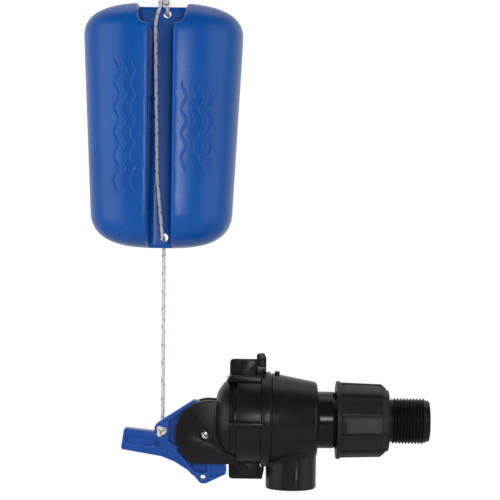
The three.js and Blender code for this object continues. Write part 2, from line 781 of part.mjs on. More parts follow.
const ARM_POCKET = [
  [-56, -2.4, 1],
  [-38.6, -4.3, 1],
  [-39, -8.1, 1],
  [-56.4, -6.4, 1],
];

const HORN_POCKET = [
  [-25.9, 8.9, 1.5],
  [-10.8, 20.1, 1.5],
  [-8, 6, 2],
  [-8.6, -5.5, 2],
  [-20.5, -8.4, 0.8],
  [-26.2, -5.6, 1],
  [-25.2, 0.5, 1],
];

const LOWER_POCKET = [
  [-20.3, -10.9, 0.8],
  [-9, -8.2, 2],
  [1.9, -9.5, 2],
  [1.9, -27, 1.5],
  [-5.8, -27.2, 1.5],
];

function leverArm() {
  const half = LEVER_WIDTH / 2;
  const body = plate(roundedOutline(LEVER_OUTLINE), [-half, half]);
  const hub = crossPin(0, 0, PIN_R + LEVER_HUB_WALL, [-hubHalf, hubHalf]);
  const padBack = padFace - SEAL_THICK;
  const padHolder = facingJet(padBack - SEAL_HOLDER_BACK, padFace - SEAL_PROUD, SEAL_R + SEAL_HOLDER_WALL);
  const padPocket = facingJet(padBack - GAP, padFace + LEVER_WIDTH, SEAL_R + GAP);
  const pockets = [ARM_POCKET, HORN_POCKET, LOWER_POCKET].flatMap((points) => [
    plate(roundedOutline(points), [-half - PAST, -LEVER_WEB / 2]),
    plate(roundedOutline(points), [LEVER_WEB / 2, half + PAST]),
  ]);
  const eyes = [CORD_EYE, LOWER_EYE].map(([x, z]) => crossPin(x, z, EYE_R, [-half - PAST, half + PAST]));
  const pinBore = crossPin(0, 0, pinBoreR, [-hubHalf - PAST, hubHalf + PAST]);
  const whole = joined(cut(body, ...pockets), hub, padHolder);
  return piece("lever", cut(whole, padPocket, pinBore, ...eyes), leverBlue);
}

function leverPin() {
  const reach = earOuter - PIN_RECESS;
  return piece("lever_pin", crossPin(pivot.x, pivot.z, PIN_R, [-reach, reach]), steel);
}

// ---------------------------------------------------------------- float, about its foot

// how full the section is at a height, from 0 at the crowns' tips to 1 between them
function fullness(height, top, crowns) {
  const [above, below] = crowns;
  const nearTop = Math.max(0, (height - (top - above)) / above);
  const nearFoot = Math.max(0, (below - height) / below);
  const t = Math.min(1, Math.max(nearTop, nearFoot));
  return (1 - t ** 2.5) ** (1 / 3);
}

// half the width and half the depth of the float's taper at a height
function taperHalf(height) {
  return FLOAT_BOTTOM_HALF.map((low, k) => low + ((FLOAT_TOP_HALF[k] - low) * height) / FLOAT_HEIGHT);
}

function superellipse(angle, [halfX, halfY]) {
  const [c, s] = [Math.cos(angle), Math.sin(angle)];
  const power = 2 / FLOAT_SQUARENESS;
  return [halfX * Math.sign(c) * Math.abs(c) ** power, halfY * Math.sign(s) * Math.abs(s) ** power];
}

// the float's outside, drawn in by an inset, as stacked rings closed by a point at each end
function floatBlank(inset, rings, sides) {
  const height = FLOAT_HEIGHT - 2 * inset;
  const crowns = FLOAT_CROWN.map((crown) => crown - inset);
  const points = spread(rings, (i) => {
    const level = (height * (1 - Math.cos((Math.PI * (i + 0.5)) / rings))) / 2;
    const full = fullness(level, height, crowns);
    const half = taperHalf(level + inset).map((size) => (size - inset) * full);
    return spread(sides, (k) => [...superellipse((2 * Math.PI * k) / sides, half), level + inset]);
  }).flat(2);
  const foot = rings * sides;
  const crest = foot + 1;
  points.push(0, 0, inset, 0, 0, FLOAT_HEIGHT - inset);
  const faces = [];
  for (let k = 0; k < sides; k += 1) {
    const next = (k + 1) % sides;
    const last = (rings - 1) * sides;
    faces.push(foot, next, k, crest, last + k, last + next);
    for (let i = 0; i < rings - 1; i += 1) {
      const [a, b] = [i * sides + k, i * sides + next];
      faces.push(a, b, b + sides, a, b + sides, a + sides);
    }
  }
  const geometry = new THREE.BufferGeometry();
  geometry.setAttribute("position", new THREE.Float32BufferAttribute(points, 3));
  geometry.setIndex(faces);
  return solid(geometry);
}

const floatFar = FLOAT_TOP_HALF[1] + 5 * PAST;

// an outline in X and Y, over the float's height
function prism(points) {
  const settings = { depth: FLOAT_HEIGHT + 2 * PAST, bevelEnabled: false, curveSegments: 4 };
  const slab = new THREE.ExtrudeGeometry(roundedOutline(points), settings);
  return solid(slab.translate(0, 0, -PAST));
}

function cordChannels() {
  const mouth = GROOVE_MOUTH / 2;
  const floor = GROOVE_FLOOR / 2;
  return [-1, 1].map((side) => {
    const web = (side * FLOAT_WEB) / 2;
    const far = side * floatFar;
    return prism([[-floor, web, GROOVE_CORNER], [floor, web, GROOVE_CORNER], [mouth, far], [-mouth, far]]);
  });
}

function topNotches(grow) {
  const half = NOTCH_HALF + grow;
  const floor = FLOAT_HEIGHT - NOTCH_DEPTH - grow;
  const top = FLOAT_HEIGHT + 2 * PAST;
  const shape = roundedOutline([
    [-half + NOTCH_SLOPE, floor, NOTCH_CORNER],
    [half - NOTCH_SLOPE, floor, NOTCH_CORNER],
    [half + NOTCH_FLARE, top],
    [-half - NOTCH_FLARE, top],
  ]);
  const web = FLOAT_WEB / 2 - grow;
  return [plate(shape, [-floatFar, -web]), plate(shape, [web, floatFar])];
}

// the crown's height over a point of the plan, found by halving
function crownHeight(x, y) {
  let low = FLOAT_HEIGHT / 2;
  let high = FLOAT_HEIGHT;
  for (let i = 0; i < 30; i += 1) {
    const z = (low + high) / 2;
    const full = fullness(z, FLOAT_HEIGHT, FLOAT_CROWN);
    const across = Math.abs(x) / (FLOAT_TOP_HALF[0] * full);
    const deep = Math.abs(y) / (FLOAT_TOP_HALF[1] * full);
    if (across ** FLOAT_SQUARENESS + deep ** FLOAT_SQUARENESS < 1) low = z;
    else high = z;
  }
  return low;
}

// an upright round piece over the plug's place, tapering to its lower end
function plugRound(x, y, z, upper, lower) {
  const round = new THREE.CylinderGeometry(upper, lower, z[1] - z[0], SMALL_ROUND).rotateX(Math.PI / 2);
  return solid(round.translate(x, y, (z[0] + z[1]) / 2));
}

function floatShell() {
  const keepOutHalf = GROOVE_MOUTH / 2 + FLOAT_WALL;
  const keepOut = block([-keepOutHalf, keepOutHalf], [-floatFar, floatFar], [-PAST, FLOAT_HEIGHT + PAST]);
  const skin = cut(floatBlank(0, 18, 36), ...cordChannels(), ...topNotches(0));
  const inside = cut(floatBlank(FLOAT_WALL, 10, 20), keepOut, ...topNotches(FLOAT_WALL));
  const holes = [CORD_HOLE_UP, FLOAT_HEIGHT - CORD_HOLE_DOWN].map((z) =>
    crossPin(-FLOAT_OFFSET, z, CORD_HOLE_R, [-FLOAT_WEB, FLOAT_WEB]),
  );
  const webTop = block(
    [-NOTCH_HALF - 2 * PAST, NOTCH_HALF + 2 * PAST],
    [-FLOAT_WEB, FLOAT_WEB],
    [FLOAT_HEIGHT - WEB_TOP_DROP, FLOAT_HEIGHT + PAST],
  );
  const [plugX, plugY] = PLUG_PLACE;
  const portR = PLUG_R + GAP / 2;
  const portRun = [FLOAT_HEIGHT - FLOAT_CROWN[0], FLOAT_HEIGHT + PAST];
  const ports = [-plugX, plugX].map((x) => plugRound(x, plugY, portRun, portR, portR));
  return piece("float_shell", cut(skin, inside, webTop, ...holes, ...ports), floatBlue);
}

function floatPlug(x, y, name) {
  const seat = crownHeight(x, y) + PLUG_RISE;
  const head = plugRound(x, y, [seat, seat + PLUG_HEAD], PLUG_HEAD_R - 1, PLUG_HEAD_R);
  const stem = plugRound(x, y, [seat - PLUG_STEM, seat + GAP], PLUG_R, PLUG_R - PLUG_TAPER);
  return piece(name, head.add(stem), floatBlue);
}

// ---------------------------------------------------------------- cord and knots

const at = (x, y, z) => new THREE.Vector3(x, y, z);

// from the lever's eye, up behind the lever and into the hole at the float's foot
const LOWER_RUN = [
  at(-192, -6.6, -8.8),
  at(-192, -2, -8.8),
  at(-192, 2, -8.8),
  at(-192, 6.6, -8.8),
  at(-192, 10.3, -7.3),
  at(-192, 11.9, -3.4),
  at(-192.1, 12.1, 3),
  at(-192.7, 12.1, 30),
  at(-193.6, 12.1, 75),
  at(-194.3, 12.1, 112),
  at(-194.3, 12, 122),
  at(-193.8, 10.4, 127),
  at(-192.7, 6.6, 129.3),
  at(-192, 3, 129.5),
  at(-192, 0.3, 129.5),
];

// from that hole up the front groove and across to the knot at the float's top
const UPPER_RUN = [
  at(-192, 0, 129.5),
  at(-192, -3, 129.5),
  at(-192.6, -7, 130),
  at(-193.8, -10.2, 132.8),
  at(-195, -11, 138.4),
  at(-196.2, -9.8, 150),
  at(-197.2, -7.6, 170),
  at(-198.4, -6.6, 210),
  at(-199.8, -6.4, 256),
  at(-200.1, -6.4, 276),
  at(-199.4, -6.6, 284),
  at(-197, -6.8, 290.6),
  at(-194.6, -6.9, 294.6),
];

// from the knot over the web's edge, down its back, through its upper hole and up to the knot
const TIE_LOOP = [
  at(-192.6, -1.4, 299.5),
  at(-192.4, 1.4, 299.5),
  at(-192.2, 5.4, 298.4),
  at(-192, 7.6, 295.2),
  at(-191.9, 7, 292),
  at(-191.8, 4.4, 290.3),
  at(-191.8, 0, 290),
  at(-191.6, -4.4, 290.3),
  at(-191.2, -7, 292),
  at(-191, -7.7, 294.4),
];

function knot(name, centre, radii) {
  const ball = new THREE.SphereGeometry(1, 14, 9).scale(...radii).translate(...centre);
  return piece(name, solid(ball), cordWhite);
}

function cordPieces() {
  const run = (name, points, steps) =>
    piece(name, tube(new THREE.CatmullRomCurve3(points), CORD_R, steps), cordWhite);
  return [
    run("cord_lower", LOWER_RUN, 36),
    run("cord_upper", UPPER_RUN, 32),
    run("tie_loop", TIE_LOOP, 12),
    knot("lever_knot", [-191.9, -10, -8.8], [4.3, 2.9, 4.5]),
    knot("top_knot", [-192.9, -5.4, 298.2], [2.6, 3.4, 2.9]),
  ];
}

// ---------------------------------------------------------------- assembly

const leverGroup = new THREE.Group();
leverGroup.position.copy(pivot);
leverGroup.add(leverArm(), pilotSeal());

const floatGroup = new THREE.Group();
floatGroup.position.copy(floatFoot);
floatGroup.add(
  floatShell(),
  floatPlug(-PLUG_PLACE[0], PLUG_PLACE[1], "float_plug_left"),
  floatPlug(PLUG_PLACE[0], PLUG_PLACE[1], "float_plug_right"),
);

const valve = new THREE.Group();
valve.add(
  inletTail(),
  tailWasher(),
  unionNut(),
  valveBody(),
  frontCap(),
  diaphragm(),
  valveDisc(),
  diaphragmPlate(),
  ...centreFastening(),
  returnSpring(),
  pilotJet(),
  leverPin(),
  leverGroup,
  floatGroup,
  ...cordPieces(),
);

export default valve;
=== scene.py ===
# A pilot-operated float valve with its float on a cord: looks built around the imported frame.
# The frame is in metres. Lengths in this script are millimetres, and MM turns them into metres.
# +X runs out of the inlet, +Z is up.

import json
from math import copysign, cos, pi, radians, sin, sqrt, tan

import bmesh
import bpy
from mathutils import Matrix, Vector
from mathutils.geometry import tessellate_polygon


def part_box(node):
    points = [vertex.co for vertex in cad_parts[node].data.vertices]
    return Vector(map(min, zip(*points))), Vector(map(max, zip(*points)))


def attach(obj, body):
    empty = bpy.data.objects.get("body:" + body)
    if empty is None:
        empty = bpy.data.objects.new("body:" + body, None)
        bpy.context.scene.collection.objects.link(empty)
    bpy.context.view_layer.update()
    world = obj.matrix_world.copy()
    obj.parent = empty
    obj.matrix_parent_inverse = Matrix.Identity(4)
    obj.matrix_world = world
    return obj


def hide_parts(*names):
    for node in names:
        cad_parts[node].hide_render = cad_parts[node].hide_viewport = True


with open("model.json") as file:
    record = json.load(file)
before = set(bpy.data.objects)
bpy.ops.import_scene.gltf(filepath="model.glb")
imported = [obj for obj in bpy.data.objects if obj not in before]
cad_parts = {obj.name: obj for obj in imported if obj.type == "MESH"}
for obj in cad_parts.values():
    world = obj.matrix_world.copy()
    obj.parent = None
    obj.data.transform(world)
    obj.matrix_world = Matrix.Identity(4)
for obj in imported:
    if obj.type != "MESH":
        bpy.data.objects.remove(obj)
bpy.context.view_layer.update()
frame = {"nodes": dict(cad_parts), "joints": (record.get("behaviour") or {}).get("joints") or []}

MM = 0.001
scene = bpy.context.scene


def corners(node):
    """A CAD node's lowest and highest corners, in millimetres."""
    low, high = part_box(node)
    return Vector(low) / MM, Vector(high) / MM


def joint_place(name):
    """A joint's point, in millimetres."""
    joint = next(j for j in frame["joints"] if j["name"] == name)
    return Vector(joint["pos_m"]) / MM


def turned(degrees, axis="X", size=4):
    """A turn about an axis, as a matrix."""
    return Matrix.Rotation(radians(degrees), size, axis)


# ---- camera

CAMERA_PLACE = (-130.3, -1180, 121.5)
CAMERA_ROLL = 0.8
PICTURE_MM = 360  # width of the picture at the valve's plane
SENSOR = 36


def make_camera():
    data = bpy.data.cameras.new("studio_camera")
    data.sensor_width = SENSOR
    data.lens = SENSOR * -CAMERA_PLACE[1] / PICTURE_MM
    data.clip_end = 30
    camera = bpy.data.objects.new("studio_camera", data)
    camera.location = Vector(CAMERA_PLACE) * MM
    turn = turned(90) @ turned(CAMERA_ROLL, "Z")
    camera.rotation_euler = turn.to_euler()
    scene.collection.objects.link(camera)
    scene.camera = camera


make_camera()


# ---- materials


def new_material(name, colour, roughness, metallic=0.0, specular=0.5):
    """A principled material, with its node tree and shader to add to."""
    material = bpy.data.materials.new(name)
    material.use_nodes = True
    tree = material.node_tree
    shader = tree.nodes["Principled BSDF"]
    shader.inputs["Base Color"].default_value = (*colour, 1)
    shader.inputs["Roughness"].default_value = roughness
    shader.inputs["Metallic"].default_value = metallic
    shader.inputs["Specular IOR Level"].default_value = specular
    return material, tree, shader


def object_place(tree):
    return tree.nodes.new("ShaderNodeTexCoord").outputs["Object"]


def noise(tree, place, scale, detail=3.0, rough=0.55):
    node = tree.nodes.new("ShaderNodeTexNoise")
    node.inputs["Scale"].default_value = scale
    node.inputs["Detail"].default_value = detail
    node.inputs["Roughness"].default_value = rough
    tree.links.new(place, node.inputs["Vector"])
    return node.outputs["Fac"]


def spread_to(tree, value, low, high, from_low=0.3, from_high=0.7):
    node = tree.nodes.new("ShaderNodeMapRange")
    node.inputs["From Min"].default_value = from_low
    node.inputs["From Max"].default_value = from_high
    node.inputs["To Min"].default_value = low
    node.inputs["To Max"].default_value = high
    tree.links.new(value, node.inputs["Value"])
    return node.outputs["Result"]


def feed(tree, value, socket):
    """Link a value that is a socket, or set one that is a constant."""
    if hasattr(value, "is_linked"):
        tree.links.new(value, socket)
    else:
        socket.default_value = value


def mix_colours(tree, factor, first, second, blend="MIX"):
    node = tree.nodes.new("ShaderNodeMix")
    node.data_type = "RGBA"
    node.blend_type = blend
    for name, value in (("A", first), ("B", second)):
        feed(tree, (*value, 1) if isinstance(value, tuple) else value, node.inputs[name])
    feed(tree, factor, node.inputs["Factor"])
    return node.outputs["Result"]


def bump(tree, shader, height, strength, distance, below=None):
    node = tree.nodes.new("ShaderNodeBump")
    node.inputs["Strength"].default_value = strength
    node.inputs["Distance"].default_value = distance * MM
    tree.links.new(height, node.inputs["Height"])
    if below is not None:
        tree.links.new(below, node.inputs["Normal"])
    tree.links.new(node.outputs["Normal"], shader.inputs["Normal"])
    return node.outputs["Normal"]


FLOW_DEPTH = 0.02


def moulded(name, dark, light, roughness, grain, grain_depth, specular=0.5):
    """Injection-moulded plastic: fine spark-eroded grain, faint flow and handling marks."""
    material, tree, shader = new_material(name, light, roughness[0], specular=specular)
    place = object_place(tree)
    cloud = noise(tree, place, 60, 4)
    tint = spread_to(tree, cloud, 0, 1)
    tree.links.new(mix_colours(tree, tint, dark, light), shader.inputs["Base Color"])
    patch = noise(tree, place, 140, 5, 0.65)
    tree.links.new(spread_to(tree, patch, *roughness), shader.inputs["Roughness"])
    wave = bump(tree, shader, noise(tree, place, 45, 1), 0.4, FLOW_DEPTH)
    bump(tree, shader, noise(tree, place, grain, 2), 0.5, grain_depth, wave)
    return material


def metal(name, colour, roughness, scale=900):
    material, tree, shader = new_material(name, colour, roughness[0], metallic=1.0)
    place = object_place(tree)
    streak = noise(tree, place, scale, 3)
    tree.links.new(spread_to(tree, streak, *roughness), shader.inputs["Roughness"])
    darker = tuple(c * 0.6 for c in colour)
    stain = spread_to(tree, noise(tree, place, 120, 4), 0, 1, 0.4, 0.75)
    tree.links.new(mix_colours(tree, stain, colour, darker), shader.inputs["Base Color"])
    bump(tree, shader, streak, 0.3, 0.02)
    return material


ROSE_YARN = (9.5, 0.1, 0.34)  # pitch in mm, phase, width
DARK_YARN = (13.0, 0.55, 0.26)


def cord_material():
    """Braided polyester: white strands, with rose and dark tracer yarns that wind along it."""
    material, tree, shader = new_material("braided_cord", (0.8, 0.77, 0.78), 0.85)
    shader.inputs["Sheen Weight"].default_value = 0.3
    uv = tree.nodes.new("ShaderNodeUVMap")
    uv.uv_map = "cord_uv"
    split = tree.nodes.new("ShaderNodeSeparateXYZ")
    tree.links.new(uv.outputs["UV"], split.inputs["Vector"])

    def maths(operation, *values):
        node = tree.nodes.new("ShaderNodeMath")
        node.operation = operation
        for value, socket in zip(values, node.inputs):
            feed(tree, value, socket)
        return node.outputs["Value"]

    def tracer(turns_per_mm, phase, width):
        along = maths("MULTIPLY_ADD", split.outputs["X"], turns_per_mm, split.outputs["Y"])
        return maths("LESS_THAN", maths("FRACT", maths("ADD", along, phase)), width)

    def flecks(pitch, phase, width):
        """Where a strand of the tracer yarn comes up between its crossings."""
        return maths("MULTIPLY", tracer(1 / pitch, phase, width), tracer(-1 / pitch, phase * 0.6, width))

    white = (0.93, 0.9, 0.91)
    rose = mix_colours(tree, flecks(*ROSE_YARN), white, (0.5, 0.2, 0.28))
    dark = mix_colours(tree, flecks(*DARK_YARN), rose, (0.1, 0.05, 0.14))
    fibre = noise(tree, object_place(tree), 2500, 3)
    shade = spread_to(tree, fibre, 0.78, 1.0)
    tree.links.new(mix_colours(tree, 1, dark, shade, "MULTIPLY"), shader.inputs["Base Color"])
    bump(tree, shader, fibre, 0.6, 0.08)
    return material


def float_material():
    """Blow-moulded polyethylene: glossy, a little wavy, with a soft translucent depth."""
    material, tree, shader = new_material("float_polyethylene", (0.0, 0.11, 0.5), 0.3, specular=0.4)
    place = object_place(tree)
    cloud = noise(tree, place, 18, 3)
    tint = spread_to(tree, cloud, 0, 1)
    blue = mix_colours(tree, tint, (0.0, 0.088, 0.41), (0.0, 0.104, 0.46))
    tree.links.new(blue, shader.inputs["Base Color"])
    smear = noise(tree, place, 55, 5, 0.6)
    tree.links.new(spread_to(tree, smear, 0.26, 0.33), shader.inputs["Roughness"])
    shader.inputs["Subsurface Weight"].default_value = 0.08
    shader.inputs["Subsurface Scale"].default_value = 2 * MM
    shader.inputs["Subsurface Radius"].default_value = (0.3, 0.6, 1.0)
    wave = bump(tree, shader, noise(tree, place, 35, 2), 0.3, 0.12)
    bump(tree, shader, noise(tree, place, 700, 2), 0.25, 0.02, wave)
    return material


LOOKS = {
    "body": moulded(
        "moulded_black", (0.006, 0.006, 0.0072), (0.0095, 0.0095, 0.011), (0.27, 0.34), 1600, 0.015, 0.32
    ),
    "gloss": moulded(
        "polished_black", (0.008, 0.008, 0.01), (0.012, 0.012, 0.014), (0.14, 0.2), 900, 0.004, 0.25
    ),
    "nut": moulded(
        "matte_black", (0.009, 0.009, 0.0105), (0.014, 0.014, 0.016), (0.42, 0.52), 1500, 0.03, 0.36
    ),
    "panel": moulded(
        "grained_black", (0.024, 0.024, 0.027), (0.045, 0.045, 0.049), (0.5, 0.62), 1100, 0.09
    ),
    "lever": moulded(
        "lever_blue", (0.005, 0.07, 0.36), (0.009, 0.088, 0.43), (0.26, 0.36), 1300, 0.01, 0.35
    ),
    "float": float_material(),
    "rubber": moulded("moulded_rubber", (0.012, 0.012, 0.012), (0.02, 0.02, 0.02), (0.75, 0.9), 1200, 0.03),
    "acetal": moulded("natural_acetal", (0.62, 0.6, 0.54), (0.74, 0.72, 0.66), (0.35, 0.45), 1200, 0.01),
    "steel": metal("stainless_steel", (0.62, 0.63, 0.64), (0.22, 0.36)),
    "pin": metal("polished_pin", (0.78, 0.77, 0.75), (0.16, 0.22), 250),
    # The pin's slot is coloured dark brown as a painted reflection and painted shade across the pin's end.
    "pin_slot": moulded("slot_painted_reflection", (0.03, 0.014, 0.008), (0.07, 0.035, 0.02), (0.5, 0.65), 900, 0.02),
    "brass": metal("turned_brass", (0.62, 0.4, 0.17), (0.2, 0.36)),
    "cord": cord_material(),
    "melted": moulded("melted_end", (0.35, 0.24, 0.09), (0.55, 0.42, 0.22), (0.35, 0.5), 900, 0.04),
}


# ---- shapes

FINE = 128  # sides of the widest round parts


class Shape:
    """Vertices and faces in millimetres, each face with its look."""

    def __init__(self):
        self.verts = []
        self.faces = []
        self.looks = []

    def add(self, verts, faces, look=None, looks=None):
        start = len(self.verts)
        self.verts += [Vector(v) for v in verts]
        self.faces += [tuple(start + i for i in face) for face in faces]
        self.looks += looks or [look] * len(faces)
        return self

    def join(self, other, matrix=None):
        moved = [matrix @ v for v in other.verts] if matrix else other.verts
        return self.add(moved, other.faces, looks=other.looks)


def around(sides):
    """The cosine and sine of each step round a circle."""
    angles = [2 * pi * k / sides for k in range(sides)]
    return [(cos(angle), sin(angle)) for angle in angles]


def eased(points, steps=5, closed=False):
    """A line whose corners are rounded: points (u, v) or (u, v, radius)."""
    result = []
    last = len(points) - 1
    for i, point in enumerate(points):
        corner = Vector(point[:2])
        radius = point[2] if len(point) > 2 else 0
        if radius <= 0 or (i in (0, last) and not closed):
            result.append(tuple(corner))
            continue
        after = Vector(points[(i + 1) % len(points)][:2])
        result += rounded_corner(Vector(points[i - 1][:2]), corner, after, radius, steps)
    return result


def eased_loop(points, steps=5):
    """A closed outline whose corners are rounded."""
    return eased(points, steps, True)


def rectangle(x, z, radius):
    places = ((x[0], z[0]), (x[1], z[0]), (x[1], z[1]), (x[0], z[1]))
    return eased_loop([(*place, radius) for place in places], 3)


def band(a, b, count):
    """The faces between two rings of points that start at a and b."""
    return [(a + k, a + (k + 1) % count, b + (k + 1) % count, b + k) for k in range(count)]


def rounded_corner(before, corner, after, radius, steps):
    back = before - corner
    on = after - corner
    angle = back.angle(on)
    reach = min(radius / tan(angle / 2), 0.49 * back.length, 0.49 * on.length)
    start = corner + back.normalized() * reach
    end = corner + on.normalized() * reach
    result = []
    for k in range(steps + 1):
        t = k / steps
        result.append(tuple(start * (1 - t) ** 2 + corner * 2 * t * (1 - t) + end * t**2))
    return result


AXES = {
    "X": lambda a, r, c, s: (a, r * c, r * s),
    "Y": lambda a, r, c, s: (r * s, a, r * c),
    "Z": lambda a, r, c, s: (r * c, r * s, a),
}


def lathe(line, axis="X", centre=(0, 0, 0), sides=96, closed=False):
    """A line of (along, radius) turned about an axis. Ends on the axis close it."""
    place = AXES[axis]
    middle = Vector(centre)
    verts = []
    rows = []
    for along, radius in line:
        if radius < 1e-6:
            rows.append([len(verts)] * sides)
            verts.append(middle + Vector(place(along, 0, 1, 0)))
            continue
        rows.append(list(range(len(verts), len(verts) + sides)))
        verts += [middle + Vector(place(along, radius, c, s)) for c, s in around(sides)]
    pairs = list(zip(rows, rows[1:]))
    if closed:
        pairs.append((rows[-1], rows[0]))
    faces = []
    for one, two in pairs:
        for k in range(sides):
            n = (k + 1) % sides
            face = list(dict.fromkeys([one[k], one[n], two[n], two[k]]))
            if len(face) > 2:
                faces.append(face)
    return Shape().add(verts, faces)


def offset_loop(loop, distance):
    """The loop moved to its left by a distance: into the material for a counter-clockwise outline."""
    result = []
    count = len(loop)
    for i in range(count):
        before = Vector(loop[i]) - Vector(loop[i - 1])
        after = Vector(loop[(i + 1) % count]) - Vector(loop[i])
        if before.length < 1e-9 or after.length < 1e-9:
            result.append(tuple(loop[i]))
            continue
        before.normalize()
        after.normalize()
        left = Vector((-before.y, before.x)) + Vector((-after.y, after.x))
        if left.length < 1e-6:
            left = Vector((-before.y, before.x))
        left.normalize()
        scale = max(0.5, left.dot(Vector((-after.y, after.x))))
        result.append(tuple(Vector(loop[i]) + left * (distance / scale)))
    return result


def loop_area(loop):
    return sum(a[0] * b[1] - b[0] * a[1] for a, b in zip(loop, loop[1:] + loop[:1])) / 2


def facing(loop, left_handed):
    """The loop counter-clockwise, or clockwise for a hole."""
    turned = (loop_area(loop) > 0) != left_handed
    return list(loop) if turned else list(reversed(loop))


def plate(outline, holes, thick, bevel=0.5, plane="XZ", steps=2):
    """A flat plate from thick[0] to thick[1] with holes and rounded edges."""
    loops = [facing(outline, False)] + [facing(hole, True) for hole in holes]
    put = {"XZ": lambda u, v, w: (u, w, v), "XY": lambda u, v, w: (u, v, w)}[plane]
    layers = []
    for k in range(steps + 1):
        angle = pi / 2 * k / steps
        layers.append((bevel * (1 - sin(angle)), thick[0] + bevel * (1 - cos(angle))))
    layers += [(inset, thick[0] + thick[1] - height) for inset, height in reversed(layers)]
    verts = []
    faces = []
    starts = []
    for inset, height in layers:
        row = []
        for loop in loops:
            row.append(len(verts))
            verts += [put(u, v, height) for u, v in offset_loop(loop, inset)]
        starts.append(row)
    for one, two in zip(starts, starts[1:]):
        for loop, a, b in zip(loops, one, two):
            faces += band(a, b, len(loop))
    for row, height in ((0, layers[0]), (-1, layers[-1])):
        flat = [[Vector((u, v, 0)) for u, v in offset_loop(loop, height[0])] for loop in loops]
        base = starts[row][0]
        faces += [tuple(base + i for i in triangle) for triangle in tessellate_polygon(flat)]
    return Shape().add(verts, faces)


def box(x, y, z, bevel):
    return plate(rectangle(x, z, bevel), [], y, bevel)


def circle(x, z, radius, sides=40):
    return [(x + radius * c, z + radius * s) for c, s in around(sides)]


def carried(points):
    """Each point with a side and an up, carried along the line without a twist."""
    side = None
    for i, point in enumerate(points):
        ahead = (points[min(i + 1, len(points) - 1)] - points[max(i - 1, 0)]).normalized()
        if side is None:
            side = ahead.orthogonal().normalized()
        side = (side - ahead * side.dot(ahead)).normalized()
        yield point, side, ahead.cross(side)


def tube(points, radius, sides=12):
    """A tube along points; its radius depends on the share of the way."""
    verts = []
    for i, (point, side, up) in enumerate(carried(points)):
        wide = radius(i / (len(points) - 1))
        verts += [point + side * (wide * c) + up * (wide * s) for c, s in around(sides)]
    rows = range(0, len(verts), sides)
    faces = [face for a, b in zip(rows, rows[1:]) for face in band(a, b, sides)]
    faces += [tuple(range(sides)), tuple(rows[-1] + k for k in range(sides))]
    return Shape().add(verts, faces)


def evenly(points, step):
    """The same line with points a step apart."""
    result = [points[0].copy()]
    left = step
    for a, b in zip(points, points[1:]):
        span = (b - a).length
        done = 0
        while span - done >= left:
            done += left
            result.append(a.lerp(b, done / span))
            left = step
        left -= span - done
    if (result[-1] - points[-1]).length > step * 0.3:
        result.append(points[-1].copy())
    return result


def to_mesh(shape, name, looks):
    mesh = bpy.data.meshes.new(name)
    mesh.from_pydata([v * MM for v in shape.verts], [], shape.faces)
    names = list(dict.fromkeys(look or looks for look in shape.looks))
    for look in names:
        mesh.materials.append(LOOKS[look])
    for face, look in zip(mesh.polygons, shape.looks):
        face.material_index = names.index(look or looks)
    work = bmesh.new()
    work.from_mesh(mesh)
    bmesh.ops.remove_doubles(work, verts=work.verts, dist=1e-7)
    bmesh.ops.recalc_face_normals(work, faces=work.faces)
    work.to_mesh(mesh)
    work.free()
    return mesh


def add_object(shape, name, look):
    piece = bpy.data.objects.new(name, to_mesh(shape, name, look))
    scene.collection.objects.link(piece)
    return piece


def smooth(piece, angle=38):
    piece.data.shade_smooth()
    piece.data.set_sharp_from_angle(angle=radians(angle))
    return piece


def apply_modifiers(piece):
    graph = bpy.context.evaluated_depsgraph_get()
    graph.update()
    mesh = bpy.data.meshes.new_from_object(piece.evaluated_get(graph))
    piece.modifiers.clear()
    piece.data = mesh
    return piece


def cut_by(piece, *cutters):
    for cutter in cutters:
        modifier = piece.modifiers.new("cut", "BOOLEAN")
        modifier.operation = "DIFFERENCE"
        modifier.solver = "EXACT"
        modifier.object = cutter
    apply_modifiers(piece)
    for cutter in cutters:
        bpy.data.objects.remove(cutter)
    return piece


def settle(piece, body, slot, *nodes):
    """The piece rides on its body and stands for its CAD nodes."""
    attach(piece, body)
    if nodes:
        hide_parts(*nodes)
    return piece


# ---- places from the frame

tail_low, tail_high = corners("inlet_tail")
nut_low, nut_high = corners("union_nut")
body_low, body_high = corners("valve_body")
cap_low, cap_high = corners("front_cap")
shell_low, shell_high = corners("float_shell")
pin_high = corners("lever_pin")[1]
jet_low, jet_high = corners("pilot_jet")
tab_top = cap_high.z
wing_r = cap_high.y

pivot = joint_place("lever_pivot")
cord_eye = joint_place("cord_swing")
float_x = (shell_low.x + shell_high.x) / 2
float_foot = shell_low.z


# ---- the cord

CORD_D = 2.6
CORD_BEND = 6
BRAID_STEP = 0.42
STRANDS = 6
STRAND_LAY = 7.5  # length of one turn of a strand
CORD_CORNERS = [
    (-192, -6.6, -8.8), (-192, 12.1, -8.8, CORD_BEND), (-193, 12.1, 129.6, CORD_BEND),
    (-193, -11, 129.6, CORD_BEND), (-197.6, -7.4, 172, 80), (-200.3, -6.6, 284, 30),
    (-195.6, -7, 299.5, CORD_BEND), (-199, 9.6, 299.5, CORD_BEND), (-191.8, 9.6, 290, CORD_BEND),
    (-191.5, -8.1, 290, CORD_BEND), (-191.9, -8.1, 297),
]


